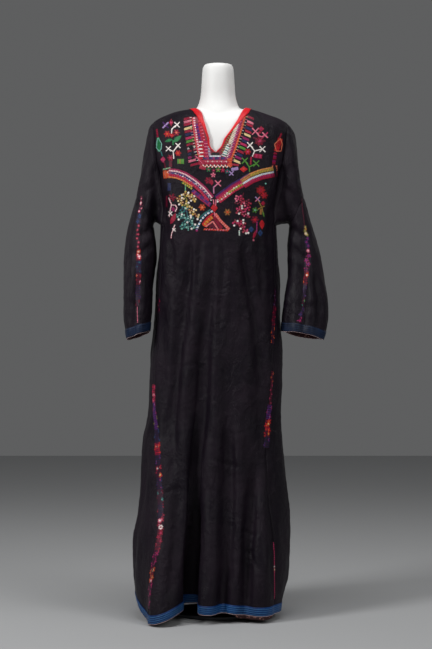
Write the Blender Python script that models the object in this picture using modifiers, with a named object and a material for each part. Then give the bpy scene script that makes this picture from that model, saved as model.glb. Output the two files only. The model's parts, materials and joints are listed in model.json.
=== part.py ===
"""Palestinian thobe dress standing on a limbless dress form, life size.

Metres, +Z up, the wearer faces -Y. Right and left are the wearer's own, so the wearer's right is
at -X. The origin is on the floor, under the middle of the base plate.

Every cloth piece is cut from one of three smooth grids of points: the skirt's closed rings, the
two halves of the bodice that run over the shoulders, and a tube for each sleeve. Neighbouring
pieces share their seam points and the direction of the wall there, so the seams fit all along.
"""
from collections import namedtuple
import math

import bmesh
import bpy
import numpy as np

# ---- driving dimensions -------------------------------------------------------------------------
CLOTH = 0.002            # wall of the cotton cloth
SEAM_HALF = 0.00035      # each piece stops this far short of a seam
LAY = 0.0004             # gap between a panel and a band sewn on it
BAND = 0.0011            # thickness of a sewn band, binding or facing
FORM_GAP = 0.0004        # between the form's shoulders and the cloth that lies on them

ARMPIT_Z = 1.085         # where the skirt's rings end and the armholes begin
HEM_BAND_HEIGHT = 0.024
BINDING_WIDTH = 0.006
RIGHT, LEFT = -1, 1      # sign of X on each of the wearer's sides
SIDE_NAMES = {RIGHT: "right", LEFT: "left"}

# Skirt: reach to each side and to the front and back, and the squareness of the section.
Section = namedtuple("Section", "z right left front back square")
SKIRT = [
    Section(0.000, 0.224, 0.178, 0.185, 0.185, 2.8),
    Section(0.024, 0.228, 0.181, 0.185, 0.183, 2.8),
    Section(0.092, 0.233, 0.197, 0.182, 0.180, 2.7),
    Section(0.204, 0.232, 0.203, 0.172, 0.170, 2.6),
    Section(0.288, 0.220, 0.201, 0.162, 0.160, 2.5),
    Section(0.372, 0.213, 0.193, 0.153, 0.150, 2.4),
    Section(0.484, 0.206, 0.183, 0.144, 0.140, 2.4),
    Section(0.568, 0.190, 0.179, 0.138, 0.133, 2.4),
    Section(0.652, 0.187, 0.183, 0.134, 0.127, 2.4),
    Section(0.736, 0.184, 0.184, 0.131, 0.121, 2.4),
    Section(0.792, 0.178, 0.179, 0.129, 0.117, 2.4),
    Section(0.876, 0.171, 0.176, 0.127, 0.112, 2.4),
    Section(0.944, 0.168, 0.174, 0.128, 0.108, 2.4),
    Section(1.016, 0.160, 0.168, 0.129, 0.106, 2.5),
    Section(1.085, 0.158, 0.166, 0.127, 0.105, 2.6),
]

# Levels of the skirt's rings, from the hem up.
SKIRT_LEVELS = [0.0, HEM_BAND_HEIGHT, 0.065, 0.120, 0.180, 0.245, 0.315, 0.390, 0.465, 0.540, 0.620,
                0.700, 0.780, 0.860, 0.940, 1.020, ARMPIT_Z]

# Where the front panel meets the gores, as X on each side.
Seam = namedtuple("Seam", "z right left")
FRONT_SEAMS = [
    Seam(0.00, -0.164, 0.150),
    Seam(0.05, -0.161, 0.154),
    Seam(0.15, -0.154, 0.156),
    Seam(0.24, -0.142, 0.152),
    Seam(0.33, -0.146, 0.142),
    Seam(0.44, -0.159, 0.138),
    Seam(0.53, -0.168, 0.142),
    Seam(0.63, -0.175, 0.151),
    Seam(0.75, -0.171, 0.154),
    Seam(0.90, -0.159, 0.162),
    Seam(1.00, -0.152, 0.160),
    Seam(1.085, -0.149, 0.157),
]

# How high the hem hangs over the floor, by the direction from the wearer's left through the front.
Lift = namedtuple("Lift", "degrees height")
HEM_LIFT = [
    Lift(0, 0.014), Lift(35, 0.020), Lift(60, 0.021), Lift(85, 0.029), Lift(100, 0.027),
    Lift(110, 0.042), Lift(117, 0.038), Lift(126, 0.014), Lift(136, 0.004), Lift(144, 0.010),
    Lift(154, 0.030), Lift(166, 0.041), Lift(182, 0.042), Lift(205, 0.030), Lift(230, 0.014),
    Lift(270, 0.012), Lift(315, 0.013), Lift(360, 0.014),
]
LIFT_FADES_AT = 0.33     # the hem's lift is gone at this height

# The hem's facing hangs lower than the hem on one stretch, given as directions like the lift's.
FACING_DROP = 0.011
FACING_DROPS = (36, 50, 70, 80)

# Folds: grooves press in, ridges (negative depth) stand out. Each runs through three stations; the
# place is X on the front and back, and Y on the sides.
Fold = namedtuple("Fold", "face top_z top_at mid_z mid_at low_z low_at "
                          "mid_depth low_depth mid_width low_width")
FOLDS = [
    Fold("front", 1.050, -0.072, 0.640, -0.108, 0.30, -0.120, 0.012, 0.004, 0.017, 0.022),
    Fold("front", 1.055, -0.014, 0.490, -0.038, 0.00, -0.070, 0.020, 0.072, 0.017, 0.021),
    Fold("front", 1.050, 0.069, 0.700, 0.118, 0.30, 0.120, 0.008, 0.000, 0.020, 0.025),
    Fold("front", 0.720, 0.020, 0.320, 0.042, 0.00, 0.012, 0.014, 0.016, 0.016, 0.018),
    Fold("front", 0.560, 0.106, 0.240, 0.084, 0.00, 0.078, 0.010, 0.014, 0.016, 0.018),
    Fold("front", 0.500, -0.135, 0.250, -0.146, 0.00, -0.132, -0.030, -0.078, 0.045, 0.038),
    Fold("front", 0.450, -0.005, 0.200, -0.008, 0.00, -0.022, -0.010, -0.016, 0.020, 0.020),
    Fold("front", 0.420, 0.130, 0.180, 0.125, 0.00, 0.122, -0.012, -0.022, 0.030, 0.028),
    Fold("back", 1.020, -0.080, 0.600, -0.090, 0.00, -0.100, 0.012, 0.034, 0.020, 0.024),
    Fold("back", 1.030, -0.020, 0.560, -0.016, 0.00, -0.026, 0.014, 0.040, 0.018, 0.024),
    Fold("back", 1.000, 0.050, 0.620, 0.060, 0.00, 0.052, 0.012, 0.036, 0.019, 0.022),
    Fold("back", 0.700, 0.100, 0.350, 0.112, 0.00, 0.118, 0.010, 0.022, 0.018, 0.020),
    Fold("right", 0.620, 0.020, 0.300, 0.030, 0.00, 0.035, 0.010, 0.022, 0.020, 0.022),
    Fold("left", 0.760, 0.000, 0.350, 0.010, 0.00, 0.012, 0.010, 0.020, 0.020, 0.022),
]

# Top line of the shoulders, which runs on under the neck.
Ridge = namedtuple("Ridge", "x z")
SHOULDER_LINE = [
    Ridge(-0.186, 1.366), Ridge(-0.168, 1.380), Ridge(-0.132, 1.396), Ridge(-0.076, 1.410),
    Ridge(0.000, 1.414), Ridge(0.085, 1.411), Ridge(0.129, 1.398), Ridge(0.179, 1.380),
    Ridge(0.204, 1.366),
]
SHOULDER_ROUND = 3.0     # exponent of the curve from the chest over the shoulder

# Armholes: X at the armpit and at the shoulder's end. Both lie in a plane.
Armhole = namedtuple("Armhole", "low_x high_x high_z")
ARMHOLES = {RIGHT: Armhole(-0.149, -0.180, 1.371), LEFT: Armhole(0.157, 0.198, 1.371)}

# Bodice rows: share of the way from the armpit to the shoulder line, the X of the neck's edge on
# each side (both at the middle where the cloth is whole) and the X of the braid's outer edge.
Row = namedtuple("Row", "share edge_right edge_left braid_right braid_left")
FRONT_ROWS = [
    Row(0.000, 0.000, 0.000, -0.045, 0.045),
    Row(0.130, -0.001, -0.001, -0.043, 0.044),
    Row(0.260, -0.003, -0.003, -0.041, 0.043),
    Row(0.390, -0.005, -0.005, -0.040, 0.042),
    Row(0.511, -0.006, -0.006, -0.040, 0.042),
    Row(0.606, -0.006, -0.006, -0.043, 0.040),
    Row(0.622, -0.020, 0.008, -0.046, 0.037),
    Row(0.720, -0.029, 0.025, -0.058, 0.056),
    Row(0.810, -0.038, 0.042, -0.065, 0.067),
    Row(0.880, -0.046, 0.057, -0.070, 0.074),
    Row(0.930, -0.055, 0.069, -0.076, 0.083),
    Row(0.965, -0.063, 0.077, -0.083, 0.090),
    Row(0.988, -0.071, 0.082, -0.088, 0.095),
    Row(1.000, -0.076, 0.085, -0.091, 0.098),
]
BACK_ROWS = [
    Row(0.988, -0.073, 0.083, -0.090, 0.096),
    Row(0.965, -0.066, 0.076, -0.083, 0.091),
    Row(0.930, -0.050, 0.060, -0.070, 0.078),
    Row(0.880, 0.004, 0.004, -0.050, 0.056),
    Row(0.800, 0.004, 0.004, -0.045, 0.051),
    Row(0.680, 0.003, 0.003, -0.044, 0.049),
    Row(0.540, 0.002, 0.002, -0.044, 0.047),
    Row(0.400, 0.001, 0.001, -0.044, 0.046),
    Row(0.260, 0.001, 0.001, -0.045, 0.046),
    Row(0.130, 0.000, 0.000, -0.045, 0.045),
    Row(0.000, 0.000, 0.000, -0.045, 0.045),
]
NECK_OPENS_AT = 6        # front row where the V begins
NECK_CLOSES_AT = 3       # first back row that is whole again
SHOULDER_SEAM = 0        # back row where the front panel ends
BRAID_BAR_ROWS = (4, 5)  # front rows under the V that carry the braid's bar

# Columns of the grids.
ARM_COLUMNS = 10         # from an armhole to the braid's outer edge
BRAID_COLUMNS = 2        # across the braid
GORE_COLUMNS = 6

# Sleeves: the inner (lower) and outer (upper) line of each section, the middle's Y, the half depth
# and how much higher its front lies than its middle.
Cuff = namedtuple("Cuff", "inner_x inner_z outer_x outer_z y depth front_rise")
SLEEVES = {
    RIGHT: [
        Cuff(-0.156, 1.0885, -0.188, 1.356, 0.000, 0.062, 0.000),
        Cuff(-0.164, 1.0920, -0.193, 1.332, 0.000, 0.061, 0.000),
        Cuff(-0.1715, 1.0935, -0.204, 1.270, 0.000, 0.060, 0.000),
        Cuff(-0.1755, 1.0900, -0.213, 1.216, 0.000, 0.059, 0.000),
        Cuff(-0.1760, 1.0820, -0.225, 1.163, -0.001, 0.058, 0.000),
        Cuff(-0.1730, 1.0620, -0.237, 1.118, -0.004, 0.058, 0.000),
        Cuff(-0.1690, 1.0320, -0.2480, 1.072, -0.008, 0.058, 0.000),
        Cuff(-0.1685, 0.9950, -0.2545, 1.024, -0.014, 0.058, 0.001),
        Cuff(-0.1740, 0.9500, -0.2595, 0.964, -0.021, 0.058, 0.003),
        Cuff(-0.1790, 0.9000, -0.2620, 0.900, -0.028, 0.058, 0.006),
        Cuff(-0.1790, 0.8500, -0.2625, 0.838, -0.034, 0.058, 0.009),
        Cuff(-0.1820, 0.8140, -0.2570, 0.792, -0.039, 0.057, 0.012),
        Cuff(-0.1850, 0.7890, -0.2520, 0.766, -0.042, 0.056, 0.013),
    ],
    LEFT: [
        Cuff(0.1660, 1.0885, 0.208, 1.356, 0.000, 0.062, 0.000),
        Cuff(0.1780, 1.0920, 0.218, 1.332, 0.000, 0.060, 0.000),
        Cuff(0.1940, 1.0930, 0.226, 1.270, 0.000, 0.058, 0.000),
        Cuff(0.2020, 1.0910, 0.232, 1.218, 0.000, 0.056, 0.000),
        Cuff(0.2045, 1.0830, 0.242, 1.163, -0.001, 0.054, 0.000),
        Cuff(0.2030, 1.0620, 0.256, 1.120, -0.004, 0.052, 0.000),
        Cuff(0.1990, 1.0320, 0.2720, 1.066, -0.008, 0.050, 0.000),
        Cuff(0.1985, 0.9950, 0.2860, 1.008, -0.014, 0.048, 0.001),
        Cuff(0.1980, 0.9450, 0.2970, 0.940, -0.021, 0.047, 0.003),
        Cuff(0.1890, 0.8950, 0.3040, 0.884, -0.028, 0.046, 0.006),
        Cuff(0.1830, 0.8500, 0.3075, 0.832, -0.034, 0.046, 0.010),
        Cuff(0.1800, 0.8150, 0.3030, 0.790, -0.039, 0.045, 0.013),
        Cuff(0.1790, 0.7900, 0.2975, 0.766, -0.042, 0.044, 0.014),
    ],
}
LOOP_KEPT = [0.62, 0.25]           # share of the armhole's own shape in the first two sections
UPPER_SLEEVE_SECTIONS = 5          # sections above the slanted seam
SLEEVE_STRIP_DEGREES = -92         # the seam under the embroidered strip, from the outer line
SLEEVE_BACK_DEGREES = 90

# Dress form under the cloth, and its stand.
Torso = namedtuple("Torso", "z width front back")
TORSO = [
    Torso(0.770, 0.122, 0.086, 0.082),
    Torso(0.784, 0.134, 0.098, 0.092),
    Torso(0.840, 0.139, 0.104, 0.095),
    Torso(0.960, 0.128, 0.098, 0.086),
]
TORSO_SQUARE = 2.3
FORM_SHARES = [0.0, 0.260, 0.540, 0.720, 0.880, 0.930, 0.965, 0.988, 1.0]
FORM_SHRINK = 0.92                 # the form's chest beside the cloth's
INSET_ENDS = 0.930                 # from this share up the cloth lies on the form
FORM_NECK_COLUMNS = 3              # columns of the form between the neck's two edges
Turn = namedtuple("Turn", "radius z")
NECK = [
    Turn(0.000, 1.340), Turn(0.052, 1.340), Turn(0.0645, 1.380), Turn(0.0600, 1.402),
    Turn(0.0540, 1.422), Turn(0.0500, 1.448), Turn(0.0465, 1.485), Turn(0.0430, 1.527),
    Turn(0.0400, 1.536), Turn(0.000, 1.537),
]
NECK_X, NECK_Y = 0.003, 0.000
POLE_RADIUS = 0.0125
FLANGE_RADIUS, FLANGE_HEIGHT = 0.034, 0.008
BASE_RADIUS, BASE_HEIGHT, BASE_EDGE = 0.125, 0.010, 0.002
STAND_GAP = 0.0003
TURN_SIDES = 28

COLOURS = {
    "black": ((0.012, 0.010, 0.012), 0.72),
    "blue": ((0.012, 0.062, 0.235), 0.60),
    "print": ((0.110, 0.012, 0.014), 0.75),
    "red": ((0.360, 0.012, 0.014), 0.65),
    "braid": ((0.270, 0.030, 0.070), 0.70),
    "white": ((0.800, 0.790, 0.770), 0.55),
    "steel": ((0.560, 0.560, 0.570), 0.35),
}


# ---- helpers ------------------------------------------------------------------------------------
def smooth(z, stations, values):
    """Value at z of a curve through the stations, without overshoot between them."""
    stations, values = np.asarray(stations, float), np.asarray(values, float)
    slopes = np.diff(values) / np.diff(stations)
    tangents = np.concatenate([slopes[:1], (slopes[1:] + slopes[:-1]) / 2, slopes[-1:]])
    flat = slopes[1:] * slopes[:-1] <= 0
    tangents[1:-1][flat] = 0
    i = int(np.clip(np.searchsorted(stations, z) - 1, 0, len(stations) - 2))
    span = stations[i + 1] - stations[i]
    u = min(max((z - stations[i]) / span, 0.0), 1.0)
    start, rise = values[i], span * tangents[i]
    end, fall = values[i + 1], span * tangents[i + 1]
    return ((2 * u**3 - 3 * u**2 + 1) * start + (u**3 - 2 * u**2 + u) * rise
            + (3 * u**2 - 2 * u**3) * end + (u**3 - u**2) * fall)


def column(table, name, at, key="z"):
    """Value of a named column of a table at a place between its rows."""
    return smooth(at, [getattr(row, key) for row in table], [getattr(row, name) for row in table])


def fade(value, start, end):
    """0 before start, 1 after end, and a soft step between."""
    u = min(max((value - start) / (end - start), 0.0), 1.0)
    return u * u * (3 - 2 * u)


def unit(vectors):
    return vectors / np.maximum(np.linalg.norm(vectors, axis=-1, keepdims=True), 1e-9)


# ---- the skirt's rings --------------------------------------------------------------------------
def reach(z, side):
    return column(SKIRT, "right" if side < 0 else "left", z)


def back_seam(z, side):
    """X of the back's seam: the same share of the reach at every height as at the armpit."""
    return ARMHOLES[side].low_x * reach(z, side) / reach(ARMPIT_Z, side)


def section_y(z, x, front):
    """Distance from the middle plane to the front or back cloth at x."""
    power = column(SKIRT, "square", z)
    share = min(abs(x) / reach(z, x), 1.0)
    return column(SKIRT, "front" if front else "back", z) * (1 - share**power) ** (1 / power)


def fold_depth(x, y, z):
    """How far the folds press the cloth in at a point of the plain ring."""
    total = 0.0
    for fold in FOLDS:
        if z >= fold.top_z:
            continue
        if fold.face in ("front", "back"):
            faces = y < 0 if fold.face == "front" else y > 0
            along, strength = x, fade(abs(y), 0.0, 0.05)
        else:
            faces = x < 0 if fold.face == "right" else x > 0
            along, strength = y, fade(abs(x), 0.10, 0.15)
        if not faces:
            continue
        stations = [fold.low_z, fold.mid_z, fold.top_z]
        place = smooth(z, stations, [fold.low_at, fold.mid_at, fold.top_at])
        depth = smooth(z, stations, [fold.low_depth, fold.mid_depth, 0.0])
        width = smooth(z, stations, [fold.low_width, fold.mid_width, fold.mid_width])
        below = fade(z, fold.low_z - 0.12, fold.low_z) if fold.low_z > 0 else 1.0
        total += strength * below * depth * math.exp(-(((along - place) / width) ** 2))
    return total


def hem_lift(x, y, z):
    degrees = math.degrees(math.atan2(-y, x)) % 360
    height = smooth(degrees, [row.degrees for row in HEM_LIFT], [row.height for row in HEM_LIFT])
    return height * (1 - fade(z, 0.0, LIFT_FADES_AT))


def skirt_point(x, y, z):
    """A point of the plain ring, with the folds pressed in and the hem lifted."""
    power = column(SKIRT, "square", z)
    deep = column(SKIRT, "front" if y < 0 else "back", z)
    out = np.array([math.copysign((abs(x) / reach(z, x)) ** (power - 1) / reach(z, x), x),
                    math.copysign((abs(y) / deep) ** (power - 1) / deep, y)])
    out = unit(out)
    depth = fold_depth(x, y, z)
    return [x - depth * out[0], y - depth * out[1], z + hem_lift(x, y, z)]


def gore_points(z, side, steps):
    """Plain points of a gore from the front seam round the side to the back seam."""
    power = column(SKIRT, "square", z)
    wide = reach(z, side)
    seams = abs(column(FRONT_SEAMS, "right" if side < 0 else "left", z)), abs(back_seam(z, side))
    angles = [math.acos((seam / wide) ** (power / 2)) for seam in seams]
    points = []
    for i in range(1, steps):
        angle = angles[0] + (-angles[1] - angles[0]) * i / steps
        x = side * wide * math.cos(angle) ** (2 / power)
        front = angle > 0
        deep = column(SKIRT, "front" if front else "back", z)
        y = deep * abs(math.sin(angle)) ** (2 / power)
        points.append((x, -y if front else y))
    return points


def front_shares():
    """X of the front's columns as shares of the seam's X, from the wearer's right to the left."""
    right = [abs(x) / abs(ARMHOLES[RIGHT].low_x) for x in half_row(FRONT_ROWS[0], RIGHT)]
    left = [x / ARMHOLES[LEFT].low_x for x in half_row(FRONT_ROWS[0], LEFT)]
    return [-share for share in right] + left[1:]


def skirt_grid():
    """Closed rings: front from right to left, left gore, back from left to right, right gore."""
    shares = front_shares()
    grid = []
    for z in SKIRT_LEVELS:
        seam = {RIGHT: column(FRONT_SEAMS, "right", z), LEFT: column(FRONT_SEAMS, "left", z)}
        ring = []
        for share in shares:
            x = abs(share) * seam[LEFT if share > 0 else RIGHT]
            ring.append((x, -section_y(z, x, True)))
        ring += gore_points(z, LEFT, GORE_COLUMNS)
        for share in reversed(shares):
            x = abs(share) * back_seam(z, LEFT if share > 0 else RIGHT)
            ring.append((x, section_y(z, x, False)))
        ring += list(reversed(gore_points(z, RIGHT, GORE_COLUMNS)))
        grid.append([skirt_point(x, y, z) for x, y in ring])
    return np.array(grid)


# ---- the bodice, over the shoulders -------------------------------------------------------------
def half_row(row, side):
    """X of one half's columns, from the armhole (or the middle) in the order of growing X."""
    hole = ARMHOLES[side]
    arm_x = hole.low_x + (hole.high_x - hole.low_x) * row.share
    edge = row.edge_right if side < 0 else row.edge_left
    braid = row.braid_right if side < 0 else row.braid_left
    binding = edge + side * BINDING_WIDTH
    xs = list(np.linspace(arm_x, braid, ARM_COLUMNS + 1))
    xs += list(np.linspace(braid, binding, BRAID_COLUMNS + 1)[1:])
    xs.append(edge)
    return xs if side < 0 else xs[::-1]


def bodice_point(x, share, front):
    """The cloth over the chest or back at x, a share of the way up to the shoulder line."""
    hole = ARMHOLES[RIGHT if x < 0 else LEFT]
    widening = 1 + (hole.high_x / hole.low_x - 1) * share
    top = smooth(x, [ridge.x for ridge in SHOULDER_LINE], [ridge.z for ridge in SHOULDER_LINE])
    deep = section_y(ARMPIT_Z, x / widening, front)
    y = deep * max(1 - share**SHOULDER_ROUND, 0.0) ** (1 / SHOULDER_ROUND)
    return [x, -y if front else y, ARMPIT_Z + (top - ARMPIT_Z) * share]


def half_grid(side):
    """One half of the bodice: rows up the front, over the shoulder and down the back."""
    front = [[bodice_point(x, row.share, True) for x in half_row(row, side)] for row in FRONT_ROWS]
    back = [[bodice_point(x, row.share, False) for x in half_row(row, side)] for row in BACK_ROWS]
    return np.array(front + back)


# ---- sleeves ------------------------------------------------------------------------------------
def sleeve_grid(loop, side):
    """Rings from the armhole loop to the cuff. The loop starts at the front's armpit corner."""
    hole = ARMHOLES[side]
    low, high = np.array([hole.low_x, 0, ARMPIT_Z]), np.array([hole.high_x, 0, hole.high_z])
    middle, reach_up = (low + high) / 2, (high - low) / 2
    count = len(loop)
    top = int(np.argmax(loop[:, 2]))
    half_depth = np.abs(loop[:, 1]).max()
    ups = (loop - middle) @ reach_up / (reach_up @ reach_up)
    outs = loop[:, 1] / half_depth
    own = np.unwrap(np.arctan2(outs, ups))
    even = own[top] + (np.arange(count) - top) * 2 * math.pi / count
    rings = [loop]
    for index, cuff in enumerate(SLEEVES[side]):
        kept = LOOP_KEPT[index] if index < len(LOOP_KEPT) else 0.0
        angles = kept * own + (1 - kept) * even
        up = kept * ups + (1 - kept) * np.cos(angles)
        out = kept * outs + (1 - kept) * np.sin(angles)
        inner, outer = np.array([cuff.inner_x, 0, cuff.inner_z]), np.array([cuff.outer_x, 0, cuff.outer_z])
        ring = (inner + outer) / 2 + np.outer(up, (outer - inner) / 2)
        ring[:, 1] = cuff.y + cuff.depth * out
        ring[:, 2] -= cuff.front_rise * out
        rings.append(ring)
    return np.array(rings), top


# ---- wall directions ----------------------------------------------------------------------------
class Directions:
    """The inward direction at each point, shared by every grid that has the point."""

    def __init__(self):
        self.normals = {}

    @staticmethod
    def key(point):
        return tuple(np.round(point, 6))

    def add(self, grid, closed, outward):
        """Take a grid's normals; outward gives each row's or the grid's point to turn away from."""
        across = np.gradient(grid, axis=1)
        if closed:
            across = np.roll(grid, -1, axis=1) - np.roll(grid, 1, axis=1)
        normals = unit(np.cross(across, np.gradient(grid, axis=0)))
        facing = np.sum(normals * (grid - outward), axis=-1)
        if facing.sum() < 0:
            normals = -normals
        for point, normal in zip(grid.reshape(-1, 3), normals.reshape(-1, 3)):
            self.normals.setdefault(self.key(point), []).append(normal)

    def inward(self, grid):
        """Inward vectors for a wall of thickness 1, with mitred corners."""
        result = np.zeros_like(grid)
        for index in np.ndindex(grid.shape[:-1]):
            normals = np.array(self.normals[self.key(grid[index])])
            mean = unit(normals.sum(axis=0))
            spread = max(float((normals @ mean).min()), 0.6)
            result[index] = -mean / spread
        return result


# ---- from grids to solids -----------------------------------------------------------------------
Patch = namedtuple("Patch", "points inward closed")


def trimmed(patch, first_row=False, last_row=False, first_column=False, last_column=False,
            distance=SEAM_HALF):
    """The patch with its named edges drawn back from their seams."""
    points = patch.points.copy()

    def draw_back(edge, next_line):
        step = next_line - edge
        return edge + unit(step) * distance

    if first_row:
        points[0] = draw_back(points[0], patch.points[1])
    if last_row:
        points[-1] = draw_back(points[-1], patch.points[-2])
    if first_column:
        points[:, 0] = draw_back(points[:, 0], points[:, 1])
    if last_column:
        points[:, -1] = draw_back(points[:, -1], points[:, -2])
    return Patch(points, patch.inward, patch.closed)


def moved_out(patch, distance):
    return Patch(patch.points - patch.inward * distance, patch.inward, patch.closed)


def solid(name, patches, thickness, colour):
    """One closed wall from patches that share points: an outer skin, an inner one and the rims."""
    index, points, inward, triangles = {}, [], [], []
    for patch in patches:
        rows, columns = patch.points.shape[:2]
        ids = np.zeros((rows, columns), int)
        for place in np.ndindex(rows, columns):
            key = Directions.key(patch.points[place])
            if key not in index:
                index[key] = len(points)
                points.append(patch.points[place])
                inward.append(patch.inward[place])
            ids[place] = index[key]
        last = columns if patch.closed else columns - 1
        for r in range(rows - 1):
            for c in range(last):
                a, b = ids[r, c], ids[r, (c + 1) % columns]
                d, e = ids[r + 1, (c + 1) % columns], ids[r + 1, c]
                triangles += [t for t in ((a, b, d), (a, d, e)) if len(set(t)) == 3]
    points, inward = np.array(points), np.array(inward)
    count = len(points)
    faces = triangles + [tuple(count + v for v in reversed(t)) for t in triangles]
    edges = {(t[i], t[(i + 1) % 3]) for t in triangles for i in range(3)}
    for a, b in sorted(edges):
        if (b, a) not in edges:
            faces.append((b, a, count + a, count + b))
    mesh = bpy.data.meshes.new(name)
    mesh.from_pydata(np.concatenate([points, points + inward * thickness]).tolist(), [], faces)
    finish(mesh)
    return add_object(name, mesh, colour)


def finish(mesh, angle=50):
    """Turn the faces out and shade the mesh smooth."""
    work = bmesh.new()
    work.from_mesh(mesh)
    bmesh.ops.remove_doubles(work, verts=work.verts, dist=1e-6)
    bmesh.ops.recalc_face_normals(work, faces=work.faces)
    work.to_mesh(mesh)
    work.free()
    mesh.shade_smooth()
    mesh.set_sharp_from_angle(angle=math.radians(angle))


def material(colour):
    name = f"{colour}_finish"
    if name in bpy.data.materials:
        return bpy.data.materials[name]
    made = bpy.data.materials.new(name)
    made.use_nodes = True
    (red, green, blue), rough = COLOURS[colour]
    shader = made.node_tree.nodes["Principled BSDF"]
    shader.inputs["Base Color"].default_value = (red, green, blue, 1)
    shader.inputs["Roughness"].default_value = rough
    shader.inputs["Metallic"].default_value = 1.0 if colour == "steel" else 0.0
    return made


def add_object(name, mesh, colour):
    made = bpy.data.objects.new(name, mesh)
    mesh.materials.append(material(colour))
    collection.objects.link(made)
    return made


# ---- pieces -------------------------------------------------------------------------------------
def body_pieces(skirt, halves, directions):
    """Front and back panels and the two gores."""
    across = len(front_shares()) - 1
    left_gore, back = across, across + GORE_COLUMNS
    right_gore = back + across

    def rings(start, columns, **edges):
        order = [i % skirt.shape[1] for i in range(start, start + columns + 1)]
        part = skirt[:, order]
        both = dict(first_column=True, last_column=True)
        return trimmed(Patch(part, directions.inward(part), False), **both, **edges)

    split = len(FRONT_ROWS) + SHOULDER_SEAM
    front_patches, back_patches = [rings(0, across)], [rings(back, across)]
    for side, half in halves.items():
        inward = directions.inward(half)
        arm_edge = {"first_column" if side < 0 else "last_column": True}
        over = Patch(half[:split + 1], inward[:split + 1], False)
        behind = Patch(half[split:], inward[split:], False)
        front_patches.append(trimmed(over, last_row=True, **arm_edge))
        back_patches.append(trimmed(behind, first_row=True, **arm_edge))
    solid("front_panel", front_patches, CLOTH, "black")
    solid("back_panel", back_patches, CLOTH, "black")
    solid("gore_left", [rings(left_gore, GORE_COLUMNS, last_row=True)], CLOTH, "black")
    solid("gore_right", [rings(right_gore, GORE_COLUMNS, last_row=True)], CLOTH, "black")


def sleeve_pieces(grid, top, side, directions):
    """Upper sleeve, the lower sleeve's two halves, the cuff band and the cuff facing."""
    count = grid.shape[1]
    name = SIDE_NAMES[side]
    inward = directions.inward(grid)
    split = UPPER_SLEEVE_SECTIONS
    upper = Patch(grid[:split + 1], inward[:split + 1], True)
    solid(f"upper_sleeve_{name}", [trimmed(upper, first_row=True, last_row=True)], CLOTH, "black")
    strip = top + round(SLEEVE_STRIP_DEGREES / 360 * count)
    back = top + round(SLEEVE_BACK_DEGREES / 360 * count)
    for half, start, stop in (("outer", strip, back), ("inner", back, strip + count)):
        order = [i % count for i in range(start, stop + 1)]
        lower = Patch(grid[split:, order], inward[split:, order], False)
        lower = trimmed(lower, first_row=True, first_column=True, last_column=True)
        solid(f"sleeve_{half}_{name}", [lower], CLOTH, "black")
    cuff = Patch(grid[-2:], inward[-2:], True)
    solid(f"cuff_band_{name}", [moved_out(cuff, LAY + BAND)], BAND, "blue")
    solid(f"cuff_facing_{name}", [moved_out(cuff, -CLOTH - LAY)], BAND, "print")


def hem_pieces(skirt, directions):
    """The blue band outside the hem and the printed facing inside it."""
    hem = Patch(skirt[:2], directions.inward(skirt[:2]), True)
    solid("hem_band", [moved_out(hem, LAY + BAND)], BAND, "blue")
    facing = moved_out(hem, -CLOTH - LAY)
    start, full, ends, stop = FACING_DROPS
    for point in facing.points[0]:
        degrees = math.degrees(math.atan2(-point[1], point[0])) % 360
        point[2] -= FACING_DROP * fade(degrees, start, full) * (1 - fade(degrees, ends, stop))
    solid("hem_facing", [facing], BAND, "print")


def neck_pieces(halves, directions):
    """The red binding round the neck's edge and the braid beside it with its bar."""
    low, high = BRAID_BAR_ROWS
    ridge = len(FRONT_ROWS)
    neck_rows = slice(NECK_OPENS_AT, ridge + NECK_CLOSES_AT + 1)
    braids = []
    for side, half in halves.items():
        inward = directions.inward(half)
        if side < 0:
            binding_columns = slice(-2, None)
            arm_columns = slice(-2 - BRAID_COLUMNS, -1)
            bar_columns = slice(-2 - BRAID_COLUMNS, None)
        else:
            binding_columns = slice(0, 2)
            arm_columns = slice(1, 2 + BRAID_COLUMNS)
            bar_columns = slice(0, 2 + BRAID_COLUMNS)

        def band(rows, columns):
            return moved_out(Patch(half[rows, columns], inward[rows, columns], False), LAY + BAND)

        braid_edge = {"first_column" if side < 0 else "last_column": True}
        binding = trimmed(band(neck_rows, binding_columns), last_row=True, distance=2 * SEAM_HALF,
                          **braid_edge)
        solid(f"neck_binding_{SIDE_NAMES[side]}", [binding], BAND, "red")
        braids.append(band(slice(high, ridge), arm_columns))
        braids.append(band(slice(low, high + 1), bar_columns))
    solid("neck_band", braids, BAND, "braid")


# ---- the dress form and its stand ---------------------------------------------------------------
def form_row(share, front, directions):
    """One row of the form's shoulders or chest, from the wearer's right to the left.

    Near the shoulder line it is the cloth's own row moved in, so the cloth lies on it; lower down
    it is the same shape, a little smaller.
    """
    rests = share >= INSET_ENDS
    table = BACK_ROWS if rests and share < 1 and not front else FRONT_ROWS
    row = min(table, key=lambda row: abs(row.share - max(share, INSET_ENDS)))._replace(share=share)
    right, left = half_row(row, RIGHT)[1:], half_row(row, LEFT)[:-1]
    neck = np.linspace(right[-1], left[0], FORM_NECK_COLUMNS + 1)[1:-1].tolist()
    xs = right + neck + left
    if not rests:
        small = [bodice_point(x * FORM_SHRINK, share, front) for x in xs]
        return [[x, y * FORM_SHRINK, z] for x, y, z in small]
    cloth = np.array([bodice_point(x, share, front) for x in xs])
    inward = np.zeros_like(cloth)
    sewn = list(range(len(right))) + list(range(len(xs) - len(left), len(xs)))
    inward[sewn] = directions.inward(cloth[sewn])
    for i in range(len(right), len(right) + len(neck)):
        inward[i] = inward[len(right) - 1]
    return (cloth + inward * (CLOTH + FORM_GAP)).tolist()


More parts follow.
